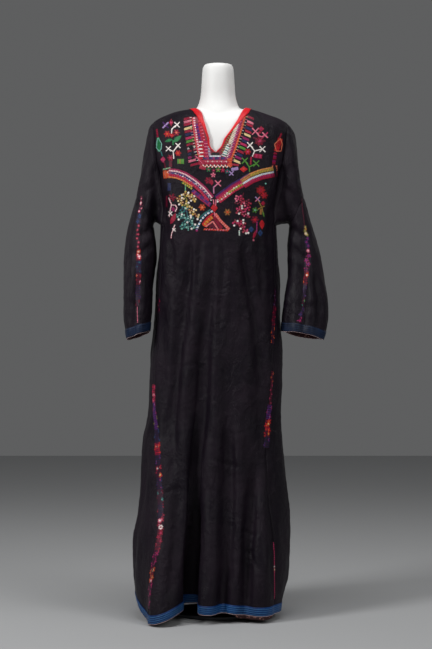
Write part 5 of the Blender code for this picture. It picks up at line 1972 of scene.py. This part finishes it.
# %% The ladders, and the bands on both sides of the V
# The black satin bar at the V's foot (from column -3.6 to 4.4 on row 2) is painted shadow: the shade where the form
# sinks away inside the V.
V_BAND = chart("the edge of the V", """
ladder -27.5,37.5;-27.5,34.5;-27.4,31.8;-27,27.7;-26.6,24.8 crimson,pink,crimson,cream,crimson 7.6 -.25
ladder -26,21.8;-25.4,18.2;-24.8,15;-24.4,11.7;-23.6,8.5 navy,rose,leaf,crimson,white 7.6 -.25
ladder -23.4,5.6;-23.2,2.4;-23,-1;-22.8,-4.6;-20.6,-8.4 crimson,navy,magenta,pink,crimson 7.6 -.25
ladder 35.5,38.4;35.2,33.6;34.6,30.8;33.6,27.4;33.2,24.2 crimson,pink,crimson,navy,crimson 6.4 .42
ladder 32.4,20.8;30.8,17.2;30.2,14.4;28.6,11.4;27.2,8 cream,magenta,navy,rose,leaf 6.4 .42
ladder 25.2,4.4;24.4,1.4;23.2,-1.8;22,-5.6 crimson,navy,magenta,cream 6.4 .42
teeth right_outer -2.6 white,cream,pink 2.9 1
teeth left_outer 2.4 cream,pink,white 2.9 1
band right_outer .6 1.4 rose,orange
band right_outer 2.2 1.8 pink,white,rose
band right_outer 6.6 1.6 crimson,red
band right_outer 8.2 1.5 crimson
satin -18.6,32;-16,22;-13.4,13 3 purple,magenta,purple 3
satin -15.6,36;-12.8,24;-10.8,14.5 2.6 crimson,pink,red,crimson
satin -14,14.5;-13.8,-3 4.6 white,crimson,red 3
satin -9.6,15;-8.8,-2 3.8 crimson,magenta,crimson,pink
satin -6.4,10;-5.4,1 2 crimson,sky
band left_outer -.6 1.7 orange,orange,salmon
band left_outer -2.2 1.3 wine,rose
band left_outer -3.8 1.6 pink,magenta,rose,purple
band left_outer -5.2 1.3 white,magenta
satin 22.6,32;18.4,22;14.6,12 3.2 cream,white,olive,white 1
satin 13.6,11.5;10.4,5;8.6,0 5 white,teal,white,mint 3
satin 17.4,26;12.4,15.5;7,3 2.4 wine,crimson,olive
satin -3.6,2;4.4,2 2.6 black
satin -5.6,-.2;5.6,-.2 1.2 sky,white
satin -12,-2.2;12,-2.2 2.6 navy,purple,magenta 5
satin -16.4,-6.4;14,-6.4 4.6 crimson
triangles -10.6,-5;13,-5 -2.4 pink,white 2.3
zigzag -14,-10.2;15.4,-10.2 2.6 white,salmon 3.6 1
satin 14.6,-2.4;14.6,-10.4 4.6 orange,salmon,red
satin -19,-.5;-15.5,-4.5;-11.5,-8.5 1 pink,rose
""")

# %% Flowers, twigs and amulets from the right ladder to the sleeve
RIGHT_SIDE = chart("the right side", """
cross -49.4 30.8 5.4 lavender,purple 1.5
diamond -43.8 33.4 3.6 7.2 crimson rose
satin -43.5,22.6;-43.2,26.8;-40.8,29.2;-38.6,30.6 1 white
cross -38 31.2 5 white 1
flower -47.8 22 7.2 red orange
flower -38.6 23.4 7.2 crimson salmon
diamond -43.2 20.6 4.2 4.6 red pink
leaf -49.8,14.4 -42.6,16.6 3 green
leaf -33.8,20.2 -42,13.6 4.2 green
satin -42.2,15.6;-41.8,11 1.2 green
antler -41.8 4.4 -41.2,-2.6 -46.6,7.2 -37,10.4 white
flower -37 2.8 6.4 red orange
flower -44.6 -1.8 6.8 crimson rose
satin -37.4,-5.4;-31.2,-5.4 4.8 leaf,olive,leaf 4
amulet -56.8,18;-53.4,12.4;-53.8,7;-55.8,4.6;-58.4,8.2;-58,15 green mint
satin -58.2,27;-57.2,18.6 1.8 wine,crimson
satin -54,4.4;-52.6,0 1 teal
diamond -52 -3.6 4.4 6.6 rose salmon
satin -50.6,-6.6;-49.6,-12 1.3 wine
satin -44.4,-5;-44.4,-11 3 wine
""")

# %% The same from the left ladder to the sleeve
LEFT_SIDE = chart("the left side", """
cross 40.4 24.6 6.4 pink 1.1
cross 50 20.8 5.2 rose,pink 1.3
satin 41.4,23.4;44,20;46.8,19.2;49.4,20.4 1 pink
diamond 46.2 27 5.2 5.4 crimson magenta
diamond 44.4 23.4 3 2.6 crimson
flower 44.6 15 10.6 crimson rose 7
satin 38.2,18.4;44,15.6 1.6 wine
satin 43,12.4;50.4,15.2 1.6 wine
antler 39.6 5 37.4,-.4 35,10.8 47.4,6.8 white 5.4
flower 32.6 4.2 6.8 red rose
satin 38.6,.4;46.8,-.6 4 crimson,rose 5
satin 36.2,-1;35.6,-8.4 1.5 crimson
antler 34.2 -11 34.6,-15.6 29.8,-4.8 41.2,-7.6 leaf 5.6
diamond 28.6 -13.2 7.2 6 red orange
amulet 65.4,17.4;67.2,12;66,4.8;61.2,4.8;59.6,11.8;61.2,13.4 red salmon
satin 66.4,22.4;64.4,18 1.6 crimson
satin 60.4,3.2;58.4,-9 3.2 crimson,wine,magenta 4
satin 17,-8.4;23.6,-9.2 1.8 crimson
satin 16.4,-13.6;23,-12.4 3 lavender
cross 16.4 -17.4 4 lavender 1
""")

# %% The row under the bar
UNDER_BAR = chart("the row under the bar", """
flower -6.4 -13.6 5.2 green rose 5 upright
flower -1.4 -14.4 5.2 wine rose 5 upright
flower 3.2 -13.8 5.2 leaf rose 5 upright
flower 7.8 -14.2 5.2 crimson rose 5 upright
flower 12.2 -15.4 5.2 teal rose 5 upright
satin -15.2,-10.6;-9.4,-12.4 3.8 crimson
flower -1.8 -19 5.4 pink rose 5 upright
flower -6.8 -24.6 7.6 crimson wine
diamond -3.2 -26.4 3 6.4 crimson
cross 3 -27.4 5.6 pink 1
satin -1.2,-37.4;-1.4,-31.4;2.6,-27.8 1 pink,lavender
""")

# %% The chevron: two arms of parallel bands with rows of triangles
CHEVRON = chart("the chevron", """
band right_arm -.7 1.8 crimson,magenta
band right_arm -2.2 1.5 pink,white
band right_arm -4.2 2.8 navy,purple,navy
band right_arm -6.6 2.6 crimson,red,rose
triangles -48.6,-17.2;-39.6,-18.2;-30.6,-21.6;-20.6,-28.2 2 white,pink,lavender 2.6
triangles -20.8,-27.8;-11.8,-35.6;-4.2,-44.8 3.2 white,pink 2.9
band -46,-12.4;-37,-13.4;-28,-16.8;-18,-23.4 -8.6 1.4 salmon,orange,yellow
satin -51.4,-18.6;-46,-18.2 7.4 orange,salmon,orange 3
satin -52.2,-13.6;-44.6,-11.8 1.2 olive,mint
satin -22.4,-34.4;-12,-42.4;-4.4,-48.6 3 purple,magenta,purple 5
satin -23,-36.6;-13,-44.6;-5.6,-50.4 1.2 crimson,magenta 5
satin -33,-26.4;-29,-28.8;-23,-33 1.6 leaf,yellow 3
band lower_arm -.2 1.6 navy,purple
band lower_arm -1.8 1.6 magenta,crimson
band lower_arm -3.4 1.8 crimson,rose
triangles 2.6,-45.6;10.6,-39.6;18.6,-33.6;27.6,-28.4 2.6 white,yellow,pink,white 2.8
band 8,-34.4;16,-28.4;25,-23.2 -5.6 2.2 leaf,yellow,olive
band lower_arm -7.6 1.8 crimson,rose,red
triangles 2,-47;10.6,-41.2;18,-36.6 2.2 white,pink 2.4
band 0,-40.4;8,-34.4 -5 2.4 crimson,orange,red
band upper_arm -.6 1.3 yellow,salmon
band upper_arm -2.8 3 olive,yellow
band upper_arm -5.4 1.8 white,sky
band upper_arm -7.6 2.6 magenta,crimson,rose
band upper_arm -9.6 1.6 crimson
triangles 34.6,-22;45.6,-17.8;58.2,-15.2 1.8 black 2.4
satin 59.4,-9.8;59.4,-14.8 5 salmon
satin 59.4,-15.4;59.4,-20.6 5 crimson
""")

# %% The fish under it: an arc of blue and white, and a red field with a scroll
FISH = chart("the fish", """
diamond -.8 -52 6.6 8.6 red crimson
satin -1.6,-43.6;-1.2,-48 .9 pink
satin 1,-43.6;.6,-49.6 .9 pink
satin -.6,-56.4;-.2,-61 .9 pink
satin -2.4,-55;-8.6,-58.2;-13.8,-63.8;-16.8,-70;-18.2,-73.4 1.7 sky,white,blue 3
satin -4.6,-53.8;-10.6,-57.4;-15.4,-62 1.2 teal
dot -18.2 -74.4 magenta 2.4
satin -2,-57.6;-8.2,-62.6;-12.4,-68.2 2 red,crimson
satin -2.8,-60.8;-7.6,-64.6;-11.2,-69.8 4 orange,yellow,red,orange
zigzag -3.6,-61.4;-10.2,-67.6 2 yellow 2.4 .8
satin -9.2,-70.6;-2.2,-65.4;3.4,-73.8 1.5 pink,salmon
satin -1.4,-60.6;2.4,-66.6;6.6,-72.4 3.4 crimson,wine
satin -5.6,-71.4;-2.2,-68.6;-.2,-73.2 2.4 wine
satin .4,-57.8;4.4,-63.6;9.4,-68.8;14.2,-73.4 2.6 salmon,pink,orange
zigzag -11,-73.2;13.6,-74.4 1.6 orange,red,pink 2.4 1
""")

# %% Two trees of raised berries on thin stems, with a rosette beside each
TREES = chart("the pair of trees", """
satin -29.6,-28.6;-29.6,-36.6 1 leaf,mint
satin -31,-39;-28,-44;-28.4,-54 .8 olive
satin -28,-56;-27,-70 .8 teal
satin -33,-58;-28,-63;-22,-61 .8 teal
satin 28.6,-37;27,-43;25.6,-56 .8 wine
satin 24.6,-62;25,-74 .8 wine
bunch -28.4 -38.2 8.4 5.4 7 cream,ochre,yellow,white
bunch -22.2 -41.8 9.4 8 11 ochre,cream,yellow,white
bunch -34.4 -44.4 8 11.6 12 cream,ochre,yellow,white
bunch -27.8 -48.8 6.8 8 8 olive,cream,yellow,white
bunch -22.4 -55.8 7.6 10.4 10 cream,ochre,yellow,white
bunch -17.6 -61 4.6 5.4 4 cream,ochre,white
bunch -31.4 -53.8 8.6 7 9 teal,navy,teal,mint
bunch -34.6 -60.4 8.4 8.2 10 mint,teal,teal,white
bunch -25.8 -63.4 10.4 8.6 13 teal,mint,teal,white
bunch -31.4 -70 8.2 6.4 8 teal,mint,teal,mint
bunch -21.6 -70.2 8.6 6.4 9 teal,teal,mint,white
bunch 24.4 -44.4 10.4 10.6 15 crimson,rose,wine,crimson,pink
bunch 32.4 -49.2 8.2 11.4 12 crimson,wine,rose,crimson,pink
bunch 25.6 -54.4 9.6 10.2 14 crimson,rose,crimson,white
bunch 31.8 -59.4 6.4 6 6 rose,crimson,wine,white
bunch 21 -66.8 8 6.4 8 rose,crimson,wine,white
bunch 27 -69 8.2 10.4 12 crimson,rose,crimson,white
bunch 30.8 -75.6 6.2 5.2 6 rose,crimson,white
satin -26.8,-70.8;-26.6,-74.4 1.2 mint,teal
satin 24.2,-74.6;24.4,-79.4 1.1 white,mint
flower -12.8 -51.4 7.4 orange salmon
flower 12.4 -56.2 7.4 ochre orange
""")

# %% The columns outside the trees
RIGHT_COLUMN = chart("the right column", """
satin -45.6,-27.4;-45.8,-34.6 3.2 navy
flower -42.6 -41.4 8.4 crimson wine 5
satin -48.2,-40;-48.2,-51 1.6 wine
satin -46.2,-42;-43.4,-48.6;-44.8,-54.8;-45.6,-60.6 1 white,pink
satin -43,-49;-39.2,-49.4;-38,-52.2;-39.8,-55.6 1 white,pink
diamond -41.8 -53.2 3.6 5 magenta wine
cross -44.6 -57.6 3.6 white .9
leaf -39.4,-57.4 -44.2,-68 4.4 crimson
satin -40.2,-69;-41.8,-73.6;-43.4,-78;-43.8,-82.4 .9 white,pink
cross -41 -73.8 2.8 white .8
""")
LEFT_COLUMN = chart("the left column", """
flower 45.6 -34.2 9.6 red crimson 7
flower 49.2 -39.4 7.6 red crimson
dot 50.6 -27.6 mint 1.6
cross 42.6 -43.2 4.4 pink,lavender .9
satin 43.2,-44.8;45.6,-49.2;47,-52;48.2,-58 .9 ochre,olive
satin 43,-53.2;47,-51.2;49.4,-50.2 .9 ochre,olive
flower 40 -54.2 6.4 leaf mint 5
diamond 48 -47.4 3.6 5.2 crimson
satin 46,-53.4;45.6,-58.4 2 ochre
leaf 47.6,-55 49,-61 1.6 leaf
flower 39.8 -63.8 8.2 crimson red
leaf 46.8,-64 47,-73 4.6 red
diamond 36.2 -73.4 4.6 6.4 blue navy
diamond 45.2 -77 4.4 6.4 blue navy
satin 42,-65.6;41.6,-76.6 1.1 purple,rose
leaf 41,-74.6 38,-82.8 2.8 crimson
dot 38.4 -84.2 pink 1.8
""")
chest = {"chest_silk": V_BAND + RIGHT_SIDE + LEFT_SIDE + UNDER_BAR + CHEVRON + FISH,
         "tree_silk": TREES + RIGHT_COLUMN + LEFT_COLUMN}
print("the chest has", sum(map(len, chest.values())), "stitches on a chart", round(122 * SQUARE, 2), "m wide")

# %% [markdown]
# ## Laying the stitches on the cloth
# The chart is a flat sheet held in front of the chest. It is laid on the cloth along the lines of
# sight, so that it looks as drawn from where the dress is viewed. Along a seam it follows the seam
# instead, and each thread is put down at the nearest place on the cloth.

# %% The cloth as a surface
CHART_X, CHART_Y, CHART_Z = -0.0055, -0.125, 1.268
SILK_LIFT, SILK_RISE = 0.00015, 0.00045

surface_points, surface_faces = [dress.placed], list(dress.faces.values())
for strip in ground_parts:
    rows, columns = strip.points.shape[:2]
    ids = np.arange(rows * columns).reshape(rows, columns) + sum(len(part) for part in surface_points)
    surface_points.append(strip.points.reshape(-1, 3))
    surface_faces.append(quads_of(ids))
surface = BVHTree.FromPolygons(np.concatenate(surface_points).tolist(),
                               np.concatenate(surface_faces).tolist())
print("the silk can lie on", sum(map(len, surface_faces)), "faces of cloth")


def by_sight(column, row):
    """Where a place on the chart of the chest meets the cloth."""
    sheet = Vector((CHART_X + column * SQUARE, CHART_Y, CHART_Z + row * SQUARE))
    place, normal, _, _ = surface.ray_cast(Vector(CAMERA_PLACE), sheet - Vector(CAMERA_PLACE))
    return place, normal


def by_seam(ids):
    """A way to lay a chart along a seam, from its upper end. Columns run across the seam."""
    ids = dress.same[ids]
    line, normals = dress.placed[ids], dress.normals[ids]
    run = run_of(line)
    across = unit(np.cross(np.gradient(line, axis=0), normals))
    ahead = unit(line[2] - line[0])

    def lay(column, row):
        at = min(-row * SQUARE, run[-1])
        place, side = (np.array([np.interp(at, run, values[:, axis]) for axis in range(3)])
                       for values in (line, across))
        above = ahead * min(at, 0)
        found, normal, _, _ = surface.find_nearest(Vector(place + above + side * column * SQUARE))
        return found, normal

    return lay


def laid(stitches, lay):
    """Middle, direction, outward direction, length and colour of each stitch that meets the cloth."""
    made = []
    for order, (start, end, colour) in enumerate(stitches):
        (first, out_first), (last, out_last) = lay(*start), lay(*end)
        if first is None or last is None:
            continue
        along, out = last - first, (out_first + out_last).normalized()
        if out.y > 0 and lay is by_sight:
            out.negate()
        lift = SILK_LIFT + SILK_RISE * order / len(stitches)
        made.append(((first + last) / 2 + out * lift, along.normalized(), out, along.length, colour))
    return made


# %% One thread
THREAD_WIDE, THREAD_HIGH = 0.00122, 0.00062
THREAD_CUTS, THREAD_SIDES = 4, 3
THREAD_TIP, TIP_WIDE = 0.06, 0.55    # how far from flat it ends, and its width there
THREAD_TUCK = 0.4                    # how much longer than its stitch it is, in its own widths


def thread_object():
    """One satin thread of unit length and width: an arch whose ends dive into the cloth."""
    points = []
    for i in range(THREAD_CUTS + 1):
        share = i / THREAD_CUTS
        rise = math.sin(math.pi * (THREAD_TIP + (1 - 2 * THREAD_TIP) * share)) ** 0.5
        for k in range(THREAD_SIDES + 1):
            angle = math.pi * k / THREAD_SIDES
            points.append((share - 0.5, math.cos(angle) / 2 * (TIP_WIDE + (1 - TIP_WIDE) * rise),
                           math.sin(angle) * rise * 0.5 + rise * 0.5 - 0.5))
    step = THREAD_SIDES + 1
    faces = [(i * step + k, (i + 1) * step + k, (i + 1) * step + k + 1, i * step + k + 1)
             for i in range(THREAD_CUTS) for k in range(THREAD_SIDES)]
    return new_piece("thread", points, faces, SILK_THREAD)


print("a thread has", THREAD_CUTS * THREAD_SIDES, "faces")

# %% Nodes that sew
def sewing_nodes():
    """Puts a thread on every point, turned along its stitch, sized by it and a little uneven."""
    tree = bpy.data.node_groups.new("sewing", "GeometryNodeTree")
    face = tree.interface
    face.new_socket("Stitches", in_out="INPUT", socket_type="NodeSocketGeometry")
    face.new_socket("Thread", in_out="INPUT", socket_type="NodeSocketObject")
    face.new_socket("Material", in_out="INPUT", socket_type="NodeSocketMaterial")
    face.new_socket("Unevenness", in_out="INPUT", socket_type="NodeSocketFloat")
    face.new_socket("Seed", in_out="INPUT", socket_type="NodeSocketInt")
    face.new_socket("Sewn", in_out="OUTPUT", socket_type="NodeSocketGeometry")
    given = node(tree, "NodeGroupInput").outputs

    def named(name):
        given_by = node(tree, "GeometryNodeInputNamedAttribute", {"Name": name}, data_type="FLOAT_VECTOR")
        return given_by.outputs[0]

    along = node(tree, "FunctionNodeAlignRotationToVector", {"Vector": named("along")}, axis="X")
    turned = node(tree, "FunctionNodeAlignRotationToVector",
                  {"Rotation": along.outputs[0], "Vector": named("out")}, axis="Z", pivot_axis="X")
    low = node(tree, "ShaderNodeMath", {0: 1.0, 1: given["Unevenness"]}, operation="SUBTRACT").outputs[0]
    high = node(tree, "ShaderNodeMath", {0: 1.0, 1: given["Unevenness"]}, operation="ADD").outputs[0]
    uneven = node(tree, "FunctionNodeRandomValue", {"Min": low, "Max": high, "Seed": given["Seed"]},
                  data_type="FLOAT_VECTOR").outputs[0]
    size = node(tree, "ShaderNodeVectorMath", {0: named("size"), 1: uneven}, operation="MULTIPLY").outputs[0]
    thread = node(tree, "GeometryNodeObjectInfo", {"Object": given["Thread"]}).outputs["Geometry"]
    sewn = node(tree, "GeometryNodeInstanceOnPoints", {"Points": given["Stitches"], "Instance": thread,
                                                       "Rotation": turned.outputs[0], "Scale": size})
    real = node(tree, "GeometryNodeRealizeInstances", {"Geometry": sewn.outputs[0]})
    coloured = node(tree, "GeometryNodeSetMaterial",
                    {"Geometry": real.outputs[0], "Material": given["Material"]})
    node(tree, "NodeGroupOutput", {"Sewn": coloured.outputs[0]})
    return tree


SEWING, THREAD_OBJECT = sewing_nodes(), thread_object()
print("the sewing tree has", len(SEWING.nodes), "nodes")

# %% Sewing the chest
SKEIN_TONE, STRAND_TONE = 0.16, 0.10   # how much skeins, and the strands of one, differ
UNEVENNESS, SEED = 0.12, 3


def shade(colour, at):
    """A silk colour with the small differences between strands."""
    tone = 1 + SKEIN_TONE * noise.noise(Vector((at * 0.37, 1.7, 0.3)))
    tone += random.uniform(-STRAND_TONE, STRAND_TONE)
    return (*[min(channel * tone, 1) for channel in SILK[colour]], 1)


def sew(name, stitches):
    """All stitches as one mesh, made by the sewing nodes."""
    mesh = bpy.data.meshes.new(name)
    mesh.from_pydata([tuple(middle) for middle, *_ in stitches], [], [])
    columns = {
        "along": [tuple(stitch[1]) for stitch in stitches],
        "out": [tuple(stitch[2]) for stitch in stitches],
        "size": [(stitch[3] + THREAD_WIDE * THREAD_TUCK, THREAD_WIDE, THREAD_HIGH) for stitch in stitches],
        "silk": [shade(stitch[4], i) for i, stitch in enumerate(stitches)],
    }
    for key, values in columns.items():
        mesh.attributes.new(key, "FLOAT_COLOR" if key == "silk" else "FLOAT_VECTOR", "POINT")
        slot = "color" if key == "silk" else "vector"
        mesh.attributes[key].data.foreach_set(slot, np.array(values, np.float32).ravel())
    made = new_object(name, mesh)
    sewing = made.modifiers.new("sewing", "NODES")
    sewing.node_group = SEWING
    sockets = {item.name: item.identifier for item in SEWING.interface.items_tree if item.in_out == "INPUT"}
    sewing[sockets["Thread"]], sewing[sockets["Material"]] = THREAD_OBJECT, SILK_THREAD
    sewing[sockets["Unevenness"]], sewing[sockets["Seed"]] = UNEVENNESS, SEED
    bpy.context.view_layer.update()
    ready = made.evaluated_get(bpy.context.evaluated_depsgraph_get())
    sewn = bpy.data.meshes.new_from_object(ready, depsgraph=bpy.context.evaluated_depsgraph_get())
    sewn.name = name
    made.modifiers.remove(sewing)
    made.data = sewn
    for extra in ("along", "out", "size"):
        if extra in sewn.attributes:
            sewn.attributes.remove(sewn.attributes[extra])
    settle(made, "embroidery")
    print(name, "has", len(stitches), "threads and", len(sewn.polygons) * 2, "triangles")
    return made


random.seed(11)
for name, stitches in chest.items():
    sew(name, laid(stitches, by_sight))

# %% [markdown]
# ## Silk along the seams
# The sleeve seams and the side seams are covered with a narrow braid of silk: small blossoms that
# lean to one side and the other of a dark line. It hides the join, and every hand's width the
# needlewoman took up another colour. A braid strays from its seam where the cloth was turned.

# %% How the colours change down each seam
STRETCHES = table("seam end wide ground blossom heart", """
= sleeve_right
-5 2.4 wine rose white
3 3.4 plum pink white
13 5.4 ink blue navy
40 3.4 plum crimson pink
52 4.4 crimson red white
66 5.2 ink navy teal
78 4.8 wine crimson orange
92 6.2 ink purple blue
99 4.6 plum crimson rose
116 1.1 pink white white
= sleeve_left
15 1.2 wine pink pink
27 4.8 plum olive cream
39 5.2 ink purple magenta
45 5.4 plum magenta pink
63 5.8 ink magenta purple
77 5.4 wine crimson orange
90 5.8 ink purple crimson
100 5.6 plum crimson green
110 5.6 ink purple blue
117 3.6 plum magenta rose
= side_right
76 0 plum wine wine
90 3.4 plum crimson white
164 0 plum wine wine
182 6 crimson rose pink
196 6 purple magenta lavender
210 6 purple olive cream
224 6.6 ink blue purple
236 7.4 crimson red orange
247 6.6 ink purple crimson
260 7.2 plum crimson salmon
272 6.8 ink navy magenta
286 7 plum wine magenta
300 7 ink crimson wine
314 7.2 plum crimson pink
334 6.2 wine crimson rose
350 6.4 plum magenta crimson
366 7 wine orange cream
391 8.4 plum magenta rose
= side_left
66 0 plum wine wine
84 3 plum purple white
104 4.4 wine crimson magenta
122 5 plum orange cream
150 0 plum wine wine
162 3.4 wine orange cream
184 3 wine rose pink
198 6 purple magenta sky
216 7.2 wine red orange
227 6.4 ink purple crimson
322 0 plum wine wine
378 1.3 rose wine wine
""")
print(len(STRETCHES), "stretches of braid")

# %% Rosettes on the braids, and how far aside each braid strays
ROSETTES = table("seam row column size petals heart", """
= sleeve_right
-7 0 2.6 pink white
1 .2 3 rose white
43 0 4 salmon white
48 -.6 4.2 pink white
68 .6 4.4 orange white
74 -1.2 4.4 pink white
= sleeve_left
19 -.8 3.6 ochre yellow
24 .6 3.8 cream white
42 -.4 3.8 pink white
67 -.8 4.6 orange white
74 .8 4.6 orange cream
93 -1.8 3.4 green mint
98 2 3.4 teal mint
= side_right
174 0 4.6 pink white
204 -.4 3.2 olive cream
228 0 6 orange white
250 1 5.2 crimson white
257 -1.2 5.2 orange cream
275 .8 5.6 teal mint
282 -1.2 5.6 teal mint
303 .8 5.2 pink white
310 -.6 5.4 white crimson
353 0 4.6 cream white
359 0 4.6 orange cream
364 0 4 pink white
= side_left
114 0 4 orange yellow
203 -.6 4.2 orange cream
209 .8 4.4 red orange
213 -.8 4 orange yellow
346 0 2 white pink
349 0 2 cream white
""")
STRAYS = table("seam row aside", """
= sleeve_right
-14 9
0 6.2
28 4.4
50 1.6
70 -.4
121 -.2
= sleeve_left
-12 -7.4
0 -6
36 -5.2
56 -2.2
76 1.2
94 4
117 6.2
= side_right
0 0
400 0
= side_left
0 0
400 0
""")
BLOSSOM_STEP, LEAN = 4.4, 0.17
FILL, HEART = 0.92, 0.26             # a blossom's size and its middle's, as shares of the width
print(len(ROSETTES), "rosettes")


# %% Sewing it down the seams
def braid_of_seam(seam):
    """Blossoms down a dark line, with a rosette here and there, as far aside as the braid strays."""
    stretches, rosettes, strays = ([row[1:] for row in rows if row.seam == seam]
                                   for rows in (STRETCHES, ROSETTES, STRAYS))
    rows, aside = zip(*strays)
    made, start = [], rows[0]
    for end, wide, ground, blossom, heart in stretches:
        count = max(1, round((end - start) / BLOSSOM_STEP)) if wide else 0
        for k, row in enumerate(np.linspace(start, end, count, endpoint=False)):
            tall = (end - start) / count
            top, foot, middle = (float(np.interp(at, rows, aside))
                                 for at in (row, row + tall, row + tall / 2))
            made += satin([(top, -row), (foot, -row - tall)], wide * FILL, [ground, "plum", ground], 2)
            if wide > 2:
                place = (middle + (k % 2 - 0.5) * 2 * LEAN * wide, -row - tall / 2)
                made += flower(*place, wide * FILL, blossom, heart, petals=5, turn=k)
                made += dot(*place, heart, wide * HEART)
        start = end
    for row, column, size, petals, heart in rosettes:
        place = (float(np.interp(row, rows, aside)) + column, -row)
        made += flower(*place, size, petals, heart, petals=7, turn=row) + dot(*place, heart, size * 0.5)
    return made


for seam in ("sleeve_right", "sleeve_left", "side_right", "side_left"):
    sew(seam.replace("_", "_silk_"), laid(braid_of_seam(seam), by_seam(seam_ids[seam])))
bpy.data.objects.remove(THREAD_OBJECT)

# %% [markdown]
# ## Finish
# The box of the model as packed and the box of the finished dress are written down.

# %% Writing down the sizes
with open("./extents.json", "w") as file:
    json.dump({"cad": [list(corner) for corner in CAD_BOX],
               "visual": [list(corner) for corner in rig.bounds()]}, file)
